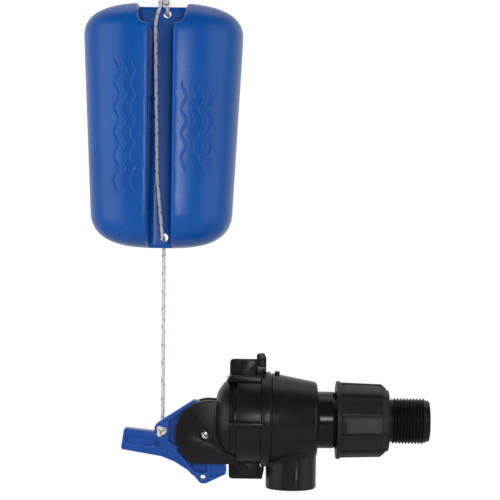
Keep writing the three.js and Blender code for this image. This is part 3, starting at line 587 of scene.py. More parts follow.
def bent(corners, steps=12):
    """A line through corners (x, y, z, radius) whose bends are arcs of a circle."""
    result = []
    for i, corner in enumerate(corners):
        middle = Vector(corner[:3])
        if i in (0, len(corners) - 1):
            result.append(middle)
            continue
        back = Vector(corners[i - 1][:3]) - middle
        on = Vector(corners[i + 1][:3]) - middle
        half = back.angle(on) / 2
        first_span, last_span = i == 1, i == len(corners) - 2
        reach = min(
            corner[3] / tan(half),
            back.length * (0.95 if first_span else 0.497),
            on.length * (0.95 if last_span else 0.497),
        )
        radius = reach * tan(half)
        centre = middle + (back.normalized() + on.normalized()).normalized() * (radius / sin(half))
        first = middle + back.normalized() * reach - centre
        last = middle + on.normalized() * reach - centre
        turn = first.angle(last)
        for k in range(steps + 1):
            share = sin(turn * (1 - k / steps)), sin(turn * k / steps)
            result.append(centre + (first * share[0] + last * share[1]) / sin(turn))
    return result


def braided(points, name):
    """A braided cord: strands cross over and under, raised along two families of spirals."""
    line = evenly(points, BRAID_STEP)
    sides = 20
    radius = CORD_D / 2
    verts = []
    uvs = []
    for i, (point, side, up) in enumerate(carried(line)):
        along = i * BRAID_STEP
        for k, (c, s) in enumerate(around(sides)):
            turn = k / sides
            right = cos(2 * pi * STRANDS * (turn + along / STRAND_LAY / STRANDS * 2))
            left = cos(2 * pi * STRANDS * (turn - along / STRAND_LAY / STRANDS * 2))
            wide = radius * (0.93 + 0.035 * (abs(right) + abs(left)))
            verts.append(point + side * (wide * c) + up * (wide * s))
            uvs.append((along, turn))
    faces = []
    face_uvs = []
    for i in range(len(line) - 1):
        a, b = i * sides, (i + 1) * sides
        faces += band(a, b, sides)
        for k in range(sides):
            u0, v0 = uvs[a + k]
            u1, v1 = uvs[b + k][0], v0 + 1 / sides
            face_uvs += [(u0, v0), (u0, v1), (u1, v1), (u1, v0)]
    last = (len(line) - 1) * sides
    faces += [tuple(reversed(range(sides))), tuple(last + k for k in range(sides))]
    face_uvs += [(0, 0)] * sides + [(len(line) * BRAID_STEP, 0)] * sides
    mesh = bpy.data.meshes.new(name)
    mesh.from_pydata([v * MM for v in verts], [], faces)
    layer = mesh.uv_layers.new(name="cord_uv")
    for loop, value in zip(layer.data, face_uvs):
        loop.uv = value
    mesh.materials.append(LOOKS["cord"])
    mesh.shade_smooth()
    piece = bpy.data.objects.new(name, mesh)
    scene.collection.objects.link(piece)
    return piece, line


def line_length(line):
    return sum((b - a).length for a, b in zip(line, line[1:]))


def make_cord(knots):
    piece, line = braided(bent(CORD_CORNERS), "float_cord")
    settle(piece, "float_line", "cord", "cord_lower", "cord_upper", "tie_loop")
    round(line_length(line) * MM, 3)
    [tuple(p * MM) for p in line[::4]]


def knot_line(centre, size, turn, count=40):
    """An overhand knot's tight trefoil."""
    result = []
    spin = turned(turn, "Y", 3)
    for k in range(count + 1):
        t = 2 * pi * k / count
        flat = Vector((
            (sin(t) + 2 * sin(2 * t)) / 3 * size[0],
            -sin(3 * t) * size[1],
            (cos(t) - 2 * cos(2 * t)) / 3 * size[2],
        ))
        result.append(Vector(centre) + spin @ flat)
    return result


def make_knot(node, grow, turn, bead_name, bead, axis, sides):
    """A trefoil of cord round a bead of melted end."""
    low, high = corners(node)
    centre = (low + high) / 2
    strand = CORD_D / 2 * 0.92
    reach = (high - low) / 2 - Vector((strand, strand, strand))
    size = (reach.x + grow[0], reach.y * 0.9, reach.z + grow[1])
    turns, _ = braided(knot_line(centre, size, turn), node + "_turns")
    settle(turns, "float_line", "cord", node)
    core = add_object(lathe(eased(bead, 4), axis, centre, sides), bead_name, "melted")
    return [turns, settle(smooth(core), "float_line", "cord")]


def make_knots():
    lever_bead = [(-2.4, 0), (-2.2, 1.8, 0.8), (1.8, 2.2, 0.9), (2.2, 0)]
    end_bead = [(-1.5, 0), (-1.3, 1.3, 0.7), (1.2, 1.5, 0.8), (1.5, 0)]
    return [
        *make_knot("lever_knot", (0, 0), 20, "lever_knot_core", lever_bead, "Y", 24),
        *make_knot("top_knot", (0.5, 0.4), 70, "top_knot_melted_end", end_bead, "Z", 20),
    ]


make_cord(make_knots())


# ---- inlet tail and nut

THREAD_R = 16.6
THREAD_ROOT = 15.12
THREAD_PITCH = 2.309
THREAD_START = -27.6
THREAD_END = -2.4
TAIL_BORE = 11.8


def helical_thread():
    """A 55 degree thread with clipped crests and roots that runs out at both ends."""
    sides = 96
    per_pitch = 12
    rows = int((THREAD_END - THREAD_START) / THREAD_PITCH * per_pitch)
    verts = []
    for i in range(rows + 1):
        x = THREAD_START + (THREAD_END - THREAD_START) * i / rows
        fade = min(1, (x - THREAD_START) / 1.6, (THREAD_END - x) / 1.4)
        for k, (c, s) in enumerate(around(sides)):
            phase = ((x - THREAD_START) / THREAD_PITCH + k / sides) % 1
            height = 1 - abs(2 * phase - 1)
            height = min(0.94, max(0.06, height)) * max(0, fade)
            radius = THREAD_ROOT - 0.05 + (THREAD_R - THREAD_ROOT) * height
            verts.append((x, radius * c, radius * s))
    faces = [face for i in range(rows) for face in band(i * sides, (i + 1) * sides, sides)]
    return Shape().add(verts, faces)


def make_tail():
    flange = tail_low.x
    shoulder = nut_high.x - 8.7
    start = THREAD_START
    rear = lathe(eased([
        (start + 0.4, THREAD_ROOT - 0.1), (start - 0.6, THREAD_ROOT + 0.2, 0.3),
        (start - 1.2, 17.3, 0.4), (shoulder, 17.3), (shoulder - 0.3, 19.8, 0.4), (flange, 19.8, 0.5),
        (flange, TAIL_BORE + 1, 0.4), (flange + 1, TAIL_BORE), (-1.2, TAIL_BORE),
        (-0.1, TAIL_BORE + 0.6, 0.3), (0, 14.2, 0.35), (-0.5, 14.75, 0.3), (THREAD_END - 0.1, 14.8),
        (THREAD_END - 0.5, THREAD_ROOT - 0.1),
    ]))
    piece = smooth(add_object(rear.join(helical_thread()), "inlet_tail_threaded", "body"), 50)
    settle(piece, "valve", "body_black", "inlet_tail")


NUT_RIBS = 10
NUT_RIB_PHASE = 3
NUT_R = 26.0
NUT_TAPER = 0.9


def nut_radius(x):
    start = nut_low.x + 3.5
    end = nut_high.x - 4.5
    return NUT_R - NUT_TAPER * (x - start) / (end - start)


def nut_rib(width, rise, start, end):
    """A bar along the nut, standing proud of its taper."""
    outline = eased_loop([
        (start, 22),
        (start, nut_radius(start) + rise, 0.3),
        (end - 0.9, nut_radius(end) + rise, 0.8),
        (end + 2.6, nut_radius(end) - 1.9, 0.6),
        (end + 2.6, 22),
    ], 4)
    return plate(outline, [], (-width / 2, width / 2), 0.45)


def proud_sheet(rows, turn, span, along, radius, axis, centre=0, look=None):
    """A curved sheet on a round face: radius(where, edge) sinks its edges into the face."""
    verts = []
    for i in range(rows + 1):
        for j, where in enumerate(along):
            angle = radians(turn + span * i / rows)
            wide = radius(where, i in (0, rows) or j in (0, 3))
            u, v = wide * cos(angle), wide * sin(angle)
            verts.append((where, u, v) if axis == "X" else (centre + u, v, where))
    faces = [
        (i * 4 + j, (i + 1) * 4 + j, (i + 1) * 4 + j + 1, i * 4 + j + 1)
        for i in range(rows) for j in range(3)
    ]
    return Shape().add(verts, faces, look)


def nut_panel(angle):
    """The grained field between two ribs."""
    start = nut_low.x + 6.4
    end = nut_high.x - 6.2
    half = 360 / NUT_RIBS / 2 - 4.6
    along = (start, start + 0.4, end - 0.4, end)
    return proud_sheet(
        14, angle - half, 2 * half, along, lambda x, edge: nut_radius(x) + (-0.1 if edge else 0.35), "X",
        look="panel",
    )


def make_nut():
    start, end = nut_low.x, nut_high.x
    rim = nut_high.y
    shell = lathe(
        eased([
            (start, 20.9, 0.3), (start, rim - 0.4, 0.5), (start + 0.4, rim, 0.4),
            (start + 2.6, rim, 0.7), (start + 3.9, NUT_R, 0.5), (end - 5.4, NUT_R - NUT_TAPER, 0.8),
            (end - 1.6, 22.1, 0.8), (end, 21.8, 0.4), (end, 17.8, 0.4), (end - 8.6, 17.8),
            (end - 8.6, 20.9), (start + 0.5, 20.9),
        ]),
        closed=True,
        sides=FINE,
    )
    rib = nut_rib(3.0, 1.1, start + 3, end - 4.5)
    for i in range(NUT_RIBS):
        angle = NUT_RIB_PHASE + 360 / NUT_RIBS * i
        shell.join(rib, turned(angle))
        if i % 2 == 0:
            shell.join(nut_panel(angle + 90 + 180 / NUT_RIBS))
    piece = smooth(add_object(shell, "union_nut_ribbed", "nut"), 40)
    settle(piece, "nut", "nut_black", "union_nut")


make_tail()
make_nut()


# ---- valve body

FLANGE_R = 34
CONE_START = 6.4  # from the flange's face to where the body starts to narrow
CONE_R = (33.1, 26.9)
NECK_R = 20.3
SEAT_R = 9.4
SPIGOT_R = 30.2
OUTLET_R = 17.9
OUTLET_BORE = 14.4
outlet_x = body_low.x + 20.3
outlet_end = body_low.z
neck_start = body_low.x + 39


def body_shell():
    flange = body_low.x
    seat = flange + 11.2
    return lathe(
        eased([
            (flange - 1.8, SPIGOT_R), (flange - 1.8, 31.3, 0.2), (flange - 1.3, 31.4),
            (flange - 1.3, FLANGE_R - 0.1, 0.2), (flange, FLANGE_R - 0.05), (flange, FLANGE_R, 0.6),
            (flange + 4.9, FLANGE_R, 0.5), (flange + 5.2, 33.0, 0.2), (flange + 5.9, 32.6, 0.2),
            (flange + CONE_START, CONE_R[0], 0.3), (neck_start - 0.2, CONE_R[1], 3.4),
            (neck_start, 20.5, 0.8), (neck_start + 1.4, NECK_R, 0.5), (nut_low.x - 2.6, NECK_R, 1.6),
            (nut_low.x + 0.8, 19.0, 0.6), (body_high.x - 1, 19.0, 0.3), (body_high.x, 18.6, 0.3),
            (body_high.x, 12.2, 0.3), (neck_start + 12, TAIL_BORE, 2), (neck_start, SEAT_R, 1),
            (seat, SEAT_R, 0.3), (seat, 12.6, 0.3), (neck_start - 4.5, 13.4, 0.6),
            (neck_start - 4.5, 22.7, 1.5), (seat - 4.6, 26.4, 0.4), (seat - 4.6, SPIGOT_R, 0.2),
            (flange - 1.7, SPIGOT_R),
        ]),
        closed=True,
        sides=FINE,
    )


def outlet_pipe():
    return lathe(
        eased([
            (outlet_end + 30, OUTLET_R + 0.15), (outlet_end, OUTLET_R - 0.1, 0.9),
            (outlet_end, OUTLET_BORE, 0.7), (outlet_end + 30.5, OUTLET_BORE),
        ]),
        "Z",
        (outlet_x, 0, 0),
        closed=True,
    )


def outlet_pad():
    """The thickened quarter of the spout on its inlet side."""
    low, high = outlet_end + 0.9, outlet_end + 23.4
    along = (low, low + 0.3, high - 0.5, high)
    return proud_sheet(
        28, -82, 164, along, lambda z, edge: OUTLET_R + (-0.2 if edge else 0.45), "Z", outlet_x
    )


def thread_lead():
    """The blunt start of the neck's thread, just clear of the nut."""
    start = nut_low.x
    outline = eased_loop([
        (start - 5.0, 1.0, 0.3), (start - 3.6, -2.2, 0.3), (start + 0.6, -5.4, 0.3),
        (start + 0.6, 3.4, 0.3), (start - 5.0, 3.4, 0.5),
    ], 3)
    lug = plate(outline, [], (-22.6, -18.5), 0.35)
    return Shape().join(lug, turned(-36))


def saddle():
    """The fillet where the spout leaves the body, a row of sections round the spout's upper edge."""
    sides = 96
    steps = 6
    reach = 3.2
    verts = []
    for c, s in around(sides):
        for j in range(steps + 1):
            t = j / steps
            out = OUTLET_R - 0.3 + reach * (1 - sin(pi / 2 * (1 - t)))
            x, y = min(outlet_x + out * c, neck_start - 4), out * s
            radius = body_radius(min(x, neck_start - 2))
            skin = -sqrt(max(0, radius * radius - y * y))
            verts.append((x, y, skin - reach * (1 - cos(pi / 2 * (1 - t))) + 0.25))
    faces = []
    for k in range(sides):
        a, b = k * (steps + 1), ((k + 1) % sides) * (steps + 1)
        faces += [(a + j, b + j, b + j + 1, a + j + 1) for j in range(steps)]
    return Shape().add(verts, faces)


def body_radius(x):
    """The body's outer radius between its flange and its end."""
    start = body_low.x + CONE_START
    wide, narrow = CONE_R
    return wide + (narrow - wide) * max(0, x - start) / (neck_start - 0.2 - start)


def make_body():
    piece = add_object(body_shell(), "valve_body_moulding", "body")
    inside = [(outlet_end - 1, 0), (outlet_end - 1, OUTLET_BORE), (-15.2, OUTLET_BORE), (-15.2, 0)]
    cut_by(piece, add_object(lathe(inside, "Z", (outlet_x, 0, 0), 64), "outlet_way", "body"))
    piece.data.materials.append(LOOKS["gloss"])
    for face in piece.data.polygons:
        along = face.center.x / MM
        if neck_start + 0.1 < along < nut_low.x + 0.5 and face.normal.yz.length > 0.5:
            face.material_index = 1
    smooth(piece, 38)
    settle(piece, "valve", "body_black", "valve_body")
    knob_x = body_low.x + 5.3 + 2.7
    extras = outlet_pipe().join(outlet_pad()).join(thread_lead()).join(saddle())
    extras.join(box((knob_x, knob_x + 3.6), (-4, 4), (30, body_high.z), 0.6))
    settle(smooth(add_object(extras, "valve_body_spout", "body"), 40), "valve", "body_black")


make_body()


# ---- front cap

CAP_R = 32
cap_end = body_low.x - 1.4
skirt_end = cap_end - 21.4
nose = skirt_end - 10.8
NOSE_R = 14.5
PIN_BORE_R = 3.12
FACE_GAP = 0.25  # between the cap's hooks and the body's flange
HOOK_R = 31.8  # where the hooks start
STEP_X = -17.3  # from the cap's end to where its skirt steps down to the dome
DOME_R = 28.6


def dome_line(inset, steps=16):
    """From the step round to the nose."""
    start = cap_end + STEP_X - 0.4
    length = start - nose - inset
    result = []
    for i in range(steps + 1):
        angle = i / steps * pi / 2
        bulge = cos(angle) ** 1.15 if i < steps else 0
        radius = NOSE_R - inset / 2 + (DOME_R - NOSE_R - inset / 2) * bulge
        result.append((start - length * sin(angle), radius))
    return result


def cap_shell():
    step = cap_end + STEP_X
    outer = [(cap_end + 5.1, 26.6), (cap_end + 5.1, 29.6), (cap_end + 0.1, 29.6)]
    skirt = [(cap_end, SPIGOT_R), (cap_end, CAP_R, 0.3), (step, CAP_R, 0.7), (step, DOME_R - 0.2)]
    outer += eased(skirt, 4)
    outer += dome_line(0)[1:]
    outer += [(nose, 3.4), (nose + 3.5, 2.8)]
    inner = [(nose + 3.5, NOSE_R - 2)] + list(reversed(dome_line(2.6)))
    inner += [(cap_end - 14, CAP_R - 4), (cap_end - 2, CAP_R - 4), (cap_end, 26.6)]
    return lathe(outer + inner, closed=True, sides=FINE)


def dome_step():
    """The low ring that steps the dome in near its edge."""
    line = dome_line(0)[3:8]
    ring = [(x - 0.5, r + 0.3) for x, r in line]
    under = [(x + 0.6, r - 0.6) for x, r in reversed(line)]
    return lathe(ring + under, closed=True, sides=FINE)


def wing():
    """A grip fin: its faces are cut back towards its outer corners."""
    left = skirt_end - 1.4
    right = cap_end
    top = wing_r
    half = 1.7
    face = body_low.x - FACE_GAP
    hook = body_low.x + 1.2
    root = 24
    middle = eased_loop([
        (left, root), (left, top, 3.2), (hook - 1.4, top, 0.8), (hook, FLANGE_R + 2.4, 0.6),
        (hook, FLANGE_R + 0.35, 0.2), (face, FLANGE_R + 0.35), (face, HOOK_R), (right - 1, root),
    ], 6)
    near = eased_loop([
        (left + 2.6, root), (left + 2.6, top - 13), (left + 8.4, top - 1.1, 0.6),
        (right - 1.2, top - 1.1, 0.4), (right - 0.4, root),
    ], 6)
    return bevelled(middle, near, half)


def bevelled(middle, near, half):
    """A slab whose two faces are smaller outlines than its middle, with sloping facets between."""
    core = plate(middle, [], (-1.1, 1.1), 0.3)
    count = len(near)
    inner = facing(near, False)
    wide = [(x, min(z, wing_r - 0.5)) for x, z in offset_loop(inner, -0.55)]
    rings = ((wide, 0.3), (inner, half - 0.12), (offset_loop(inner, 0.25), half))
    for side in (-1, 1):
        verts = [(x, side * y, z) for ring, y in rings for x, z in ring]
        faces = band(0, count, count) + band(count, 2 * count, count)
        faces += [tuple(range(count)), tuple(range(2 * count, 3 * count))]
        core.add(verts, faces)
    return core


def ear_outline():
    x, z = pivot.x + 2.8, pivot.z + 1.1
    radius = 23.7
    flat = pivot.z - 20.4
    points = []
    steps = 72
    for k in range(steps + 1):
        angle = radians(83 + 180 * k / steps)
        point = (x + radius * cos(angle), z + radius * sin(angle))
        if point[1] > flat:
            points.append(point)
    back = cap_end + STEP_X + 0.4
    return points + [(x - 9.4, flat), (back, flat), (back, points[0][1])]


def ear(side):
    inner, outer = side * 8.5, side * 13.5
    hole = circle(pivot.x, pivot.z, 3.6)
    cheek = plate(ear_outline(), [hole], sorted((inner, outer)), 0.7, steps=3)
    span = sorted((outer - side * 0.4, outer + side * 0.3))
    left = pivot.x + 4.2
    for x, z, radius, wall, shift in (
        ((left, left + 7.4), (-4.6, 4.6), 0.5, 0.8, (0, 0, pivot.z)),
        ((-1, 7.4), (-16, -8.6), 0.6, 0.6, (pivot.x, 0, pivot.z)),
    ):
        edge = rectangle(x, z, radius)
        raised = plate(edge, [offset_loop(facing(edge, False), wall)], span, 0.15, steps=1)
        cheek.join(raised, Matrix.Translation(shift))
    rail = box((pivot.x + 6.4, pivot.x + 7.1), span, (pivot.z + 6, pivot.z + 20), 0.15)
    sill = box((pivot.x + 6.4, pivot.x + 16), span, (pivot.z + 5.6, pivot.z + 6.3), 0.15)
    cheek.join(rail).join(sill)
    bush = lathe(
        [(inner, PIN_BORE_R), (outer - side * 1.5, PIN_BORE_R), (outer - side * 1.5, 3.9), (inner, 3.9)],
        "Y", (pivot.x, 0, pivot.z), 40, closed=True,
    )
    return cheek.join(bush)


def pedestal():
    left = skirt_end - 3.4
    section = eased_loop([
        (left, 27.6, 0.5), (left, CAP_R - 3.5, 1.2), (left + 3, CAP_R + 0.4, 1.6),
        (cap_end, CAP_R + 0.4, 0.4), (cap_end, 27.6, 0.4),
    ], 4)
    return plate(section, [], (-16, 16), 0.6)


def locking_tab():
    reach = body_low.x + 1.9
    start = cap_end - 3.6
    face = body_low.x - FACE_GAP
    tab = eased_loop([
        (start, 30), (start, tab_top - 0.6, 1.6), (reach - 1.6, tab_top, 1.4),
        (reach, tab_top - 3.4, 1.6), (reach, FLANGE_R + 0.3, 0.2), (face, FLANGE_R + 0.3),
        (face, HOOK_R), (cap_end - 1, 30),
    ], 4)
    slot = rectangle((start + 0.9, reach - 1.2), (wing_r - 4.6, wing_r - 0.6), 0.8)
    web = plate(slot, [], (-1.2, 1.2), 0.1, steps=1)
    return plate(tab, [slot], (-5, 5), 0.5).join(web)


def make_cap():
    shape = cap_shell().join(dome_step())
    fin = wing()
    for k in range(4):
        shape.join(fin, turned(90 * k))
    shape.join(pedestal()).join(locking_tab()).join(ear(-1)).join(ear(1))
    piece = smooth(add_object(shape, "front_cap_moulding", "body"), 36)
    settle(piece, "valve", "body_black", "front_cap")


make_cap()


# ---- lever, seal, pin and jet

LEVER_HALF = 6.5
LEVER_OUTLINE = [
    (-58.1, 3.5, 1.5), (-36.3, 1.3, 1), (-36.3, 5.6, 3), (-33.3, 8.1, 2), (-8.2, 24.4, 3), (-3.5, 23, 3),
    (-2, 13, 1), (6.4, 2, 1.5), (6.4, -5, 2), (15.5, -23.4, 0.8), (15.5, -28.2, 2.5), (0.9, -35.2, 2.5),
    (-2.6, -35.2, 2.5), (-10, -27.1, 8), (-21.4, -19.9, 8), (-31, -16.1, 6), (-60.2, -11.3, 1.5),
]
ARM_POCKET = [(-56.4, -1.6, 1), (-37, -3.8, 1), (-37.4, -8.3, 1), (-56.8, -6.6, 1)]
HORN_POCKET = [
    (-25.9, 8.9, 1.5), (-10.8, 20.1, 1.5), (-8, 6, 2), (-8.6, -5.5, 2), (-20.5, -8.4, 0.8),
    (-26.2, -5.6, 1), (-25.2, 0.5, 1),
]
LOWER_POCKET = [(-20.3, -10.9, 0.8), (-9, -8.2, 2), (1.9, -9.5, 2), (1.9, -27, 1.5), (-5.8, -27.2, 1.5)]
FOOT_PANEL = [(4.4, -12, 1), (13.6, -24.6, 1), (13.6, -27.2, 1), (4.4, -31, 1)]
RAISED_BAND = [
    (-29.4, -3.4, 1), (-25.9, -4.6, 1), (-21.4, -10.6, 1), (-6.4, -27.4, 1), (-8.4, -29.6, 1),
    (-25.6, -10.6, 1),
]
THIN_RIB = [(-19.6, -11.6), (-18.7, -11.0), (-8.6, -22.8), (-9.4, -23.6)]
ARM_HOLE = (-34.2, -7.1)
ARM_HOLE_R = 2.1
EYE_R = 1.95
LOWER_EYE = (-1.2, -31.1)
HUB_R = 6.6
HUB_HALF = 8
SEAL_R = 4
CLOSE_ANGLE = 14


def lever_shape():
    eye = (cord_eye.x - pivot.x, cord_eye.z - pivot.z)
    hole = circle(*ARM_HOLE, ARM_HOLE_R, 28)
    webs = [
        (eased_loop(ARM_POCKET), 5.3), (hole, 3.2), (eased_loop(HORN_POCKET), 2.2),
        (eased_loop(LOWER_POCKET), 2.2), (eased_loop(FOOT_PANEL), 5.7),
    ]
    eyes = [circle(*eye, EYE_R), circle(*LOWER_EYE, EYE_R)]
    bore = circle(0, 0, HUB_R - 0.6)
    outline = eased_loop(LEVER_OUTLINE, 6)
    cuts = [pocket for pocket, _ in webs] + eyes + [bore]
    shape = plate(outline, cuts, (-LEVER_HALF, LEVER_HALF), 0.5, steps=3)
    for pocket, half in webs:
        wide = offset_loop(facing(pocket, False), -0.8)
        shape.join(plate(wide, [], (-half, half), 0.1, steps=1))
    proud = LEVER_HALF + 0.55
    shape.join(plate(eased_loop(RAISED_BAND), [], (-proud, proud), 0.5, steps=3))
    shape.join(plate(THIN_RIB, [], (-4.6, 4.6), 0.3, steps=2))
    for centre, radius in ((eye, 4.4), (LOWER_EYE, 3.9)):
        boss = lathe(eased([
            (-proud, EYE_R + 0.1), (-proud, radius, 0.5), (proud, radius, 0.5), (proud, EYE_R + 0.1)
        ], 4), "Y", (centre[0], 0, centre[1]), 40, closed=True)
        shape.join(boss)
    hub = eased_loop([
        (-HUB_HALF, PIN_BORE_R), (-HUB_HALF, HUB_R, 0.5), (HUB_HALF, HUB_R, 0.5), (HUB_HALF, PIN_BORE_R)
    ], 3)
    shape.join(lathe(hub, "Y", (0, 0, 0), 64, closed=True))
    return shape


def make_lever():
    place = Matrix.Translation(pivot)
    shape = Shape().join(lever_shape(), place)
    face = jet_low.x - 0.3 - pivot.x
    lean = place @ turned(-CLOSE_ANGLE, "Y") @ Matrix.Translation((0, 0, -pivot.z))
    cup = lathe(
        eased_loop([
            (face - 6, 0.01), (face - 6, SEAL_R + 1.6, 0.5), (face - 0.8, SEAL_R + 1.6, 0.4),
            (face - 0.8, SEAL_R + 0.3, 0.2), (face - 3.3, SEAL_R + 0.3), (face - 3.3, 0.01),
        ], 3),
        sides=40, closed=True,
    )
    shape.join(cup, lean)
    piece = smooth(add_object(shape, "pilot_lever", "lever"), 40)
    settle(piece, "pilot_lever", "lever_blue", "lever")
    line = eased([(face - 3, 0), (face - 3, SEAL_R, 0.3), (face, SEAL_R, 0.5), (face, 0)], 3)
    pad = lathe(line, sides=40)
    seal = smooth(add_object(Shape().join(pad, lean), "pilot_seal_pad", "rubber"))
    settle(seal, "pilot_lever", "rubber", "pilot_seal")


SLOT_HALF = 0.9
SLOT_DEPTH = 1.1
SLOT_TURN = 42


def make_pin():
    """A bright pin with a domed, slotted head at each end."""
    half = pin_high.y
    end = eased([
        (half, 0), (half - 0.05, 1.2, 0.6), (half - 0.35, 2.5, 0.5), (half - 0.9, 3.0, 0.2), (half - 1.2, 3.0)
    ], 4)
    profile = [(-a, r) for a, r in end] + list(reversed(end))
    piece = add_object(lathe(profile, "Y", (pivot.x, 0, pivot.z), 48), "lever_pin_turned", "pin")
    cutters = []
    for side in (-1, 1):
        span = sorted((side * (half - SLOT_DEPTH), side * (half + 1)))
        slot = box((-4, 4), span, (-SLOT_HALF, SLOT_HALF), 0.05)
        place = Matrix.Translation(pivot) @ turned(SLOT_TURN, "Y")
        # The slot cutters carry the dark brown look, a painted reflection and shade in the slot.
        cutters.append(add_object(Shape().join(slot, place), "pin_slot", "pin_slot"))
    cut_by(piece, *cutters)
    settle(smooth(piece, 30), "valve", "steel", "lever_pin")


def make_jet():
    tip = jet_low.x
    back = jet_high.x
    profile = eased_loop([
        (tip, 0.8, 0.1), (tip, 1.5, 0.2), (tip + 1.1, 3.1, 0.2), (nose - 0.3, 3.2, 0.2), (nose - 0.3, 2.6),
        (back, 2.6, 0.2), (back, 0.8, 0.1),
    ], 3)
    piece = smooth(add_object(lathe(profile, sides=40, closed=True), "pilot_jet_nozzle", "brass"))
    settle(piece, "valve", "brass", "pilot_jet")


make_lever()
make_pin()
make_jet()


# ---- float

FLOAT_TOP_HALF = (58.2, 49)
FLOAT_BOTTOM_HALF = (49.6, 42)
FLOAT_CROWN = (25, 26)
FLOAT_POWER = 2.5
FLOAT_HEIGHT = 174.6
FLOAT_WEB = 9
GROOVE_MOUTH = 16.6
GROOVE_FLOOR = 16
NOTCH_HALF = 17
NOTCH_DEPTH = 17.7
HOLE_R = 2.9
HOLE_HEIGHTS = (7.6, 168.1)
CROWN_CURVE = (2.5, 1 / 3)
CUT_REACH = 52
VOXEL = 1.0
RELAX_STEPS = 22
float_top = float_foot + FLOAT_HEIGHT


def float_half(height):
    """The float's half width and half depth at a height above its foot."""
    top = max(0, (height - (FLOAT_HEIGHT - FLOAT_CROWN[0])) / FLOAT_CROWN[0])
    foot = max(0, (FLOAT_CROWN[1] - height) / FLOAT_CROWN[1])
    full = max(0, 1 - min(1, max(top, foot)) ** CROWN_CURVE[0]) ** CROWN_CURVE[1]
    share = height / FLOAT_HEIGHT
    return [(low + (high - low) * share) * full for low, high in zip(FLOAT_BOTTOM_HALF, FLOAT_TOP_HALF)]


def float_blank(rings=96, sides=160):
    verts = []
    power = 2 / FLOAT_POWER
    for i in range(rings):
        t = (1 - cos(pi * (i + 0.5) / rings)) / 2
        height = FLOAT_HEIGHT * t
        half = float_half(height)
        for c, s in around(sides):
            verts.append((
                float_x + half[0] * copysign(abs(c) ** power, c),
                half[1] * copysign(abs(s) ** power, s),
                float_foot + height,
            ))
    faces = [face for i in range(rings - 1) for face in band(i * sides, (i + 1) * sides, sides)]
    faces += [tuple(range(sides)), tuple((rings - 1) * sides + k for k in range(sides))]
    return Shape().add(verts, faces)


def groove_cutter(side):
    web = FLOAT_WEB / 2
    outline = eased_loop([
        (float_x - GROOVE_FLOOR / 2, side * web, 2.5), (float_x + GROOVE_FLOOR / 2, side * web, 2.5),
        (float_x + GROOVE_MOUTH / 2, side * CUT_REACH), (float_x - GROOVE_MOUTH / 2, side * CUT_REACH),
    ], 5)
    return plate(outline, [], (float_foot - 2, float_top + 4), 0.01, "XY", steps=1)


def notch_cutter(side):
    floor = float_top - NOTCH_DEPTH
    top = float_top + 3
    outline = eased_loop([
        (float_x - NOTCH_HALF + 1.5, floor, 5), (float_x + NOTCH_HALF - 1.5, floor, 5),
        (float_x + NOTCH_HALF + 1, top), (float_x - NOTCH_HALF - 1, top),
    ], 8)
    return plate(outline, [], sorted((side * FLOAT_WEB / 2, side * CUT_REACH)), 0.01, steps=1)


WAVE_LINES = {-1: (18.5, 24.6, 30.7), 1: (16.5, 22.5, 28.5, 34.5)}
WAVE_SPAN = {-1: (34, 136), 1: (50, 118)}
WAVE_LENGTH = 17
WAVE_SWING = 1.5
WAVE_R = 1.2
WAVE_STEPS = 90


def wave_relief(side):
    """Raised wavy lines on the front of a lobe, in place of any lettering."""
    relief = Shape()
    low, high = WAVE_SPAN[side]
    for line in WAVE_LINES[side]:
        points = []
        for k in range(WAVE_STEPS + 1):
            height = low + (high - low) * k / WAVE_STEPS
            x = side * line + WAVE_SWING * sin(2 * pi * (height - low) / WAVE_LENGTH)
            half = float_half(height)
            depth = half[1] * (1 - abs(x / half[0]) ** FLOAT_POWER) ** (1 / FLOAT_POWER)
            points.append(Vector((float_x + x, -depth + 0.5, float_foot + height)))
        relief.join(tube(points, lambda t: WAVE_R * min(1, 0.25 + 9 * min(t, 1 - t))))
    return relief


def make_float():
    piece = add_object(float_blank(), "float_blank", "float")
    shapes = [make(side) for make in (groove_cutter, notch_cutter) for side in (-1, 1)]
    shapes.append(box((float_x - 19, float_x + 19), (-8, 8), (float_top - 1.2, float_top + 6), 0.05))
    cut_by(piece, *(add_object(shape, "float_cutter", "float") for shape in shapes))
    remesh = piece.modifiers.new("remesh", "REMESH")
    remesh.mode = "VOXEL"
    remesh.voxel_size = VOXEL * MM
    relax = piece.modifiers.new("relax", "SMOOTH")
    relax.factor = 0.5
    relax.iterations = RELAX_STEPS
    apply_modifiers(piece)
    hole = [(-9, 0), (-9, HOLE_R), (9, HOLE_R), (9, 0)]
    holes = [lathe(hole, "Y", (cord_eye.x, 0, float_foot + height), 40) for height in HOLE_HEIGHTS]
    cut_by(piece, *(add_object(shape, "float_hole", "float") for shape in holes))
    piece.data.materials.clear()
    piece.data.materials.append(LOOKS["float"])
    smooth(piece, 50)
    piece.name = "float_moulding"
    settle(piece, "float_line", "float_blue", "float_shell")
    relief = add_object(wave_relief(-1).join(wave_relief(1)), "float_wave_relief", "float")
    settle(smooth(relief, 60), "float_line", "float_blue")


def make_plug(node, name):
    low, high = corners(node)
    middle = (low + high) / 2
    profile = eased([
        (low.z, 0), (low.z, 2.4, 0.3), (high.z - 1, 3), (high.z - 1, 5, 0.3), (high.z, 4.2, 0.6),
        (high.z, 1.4, 0.2), (high.z - 0.5, 1.1, 0.2), (high.z - 0.5, 0),
    ], 3)
    plug = smooth(add_object(lathe(profile, "Z", (middle.x, middle.y, 0), 40), name, "float"))
    settle(plug, "float_line", "float_blue", node)


make_float()
make_plug("float_plug_left", "float_plug_left_turned")
make_plug("float_plug_right", "float_plug_right_turned")


# ---- pieces kept from the frame

KEPT = {
    "tail_washer": "rubber",
    "diaphragm": "rubber",
    "valve_disc": "rubber",
    "diaphragm_plate": "acetal",
    "disc_washer": "steel",
    "centre_screw": "steel",
    "centre_nut": "steel",
    "return_spring": "steel",
}

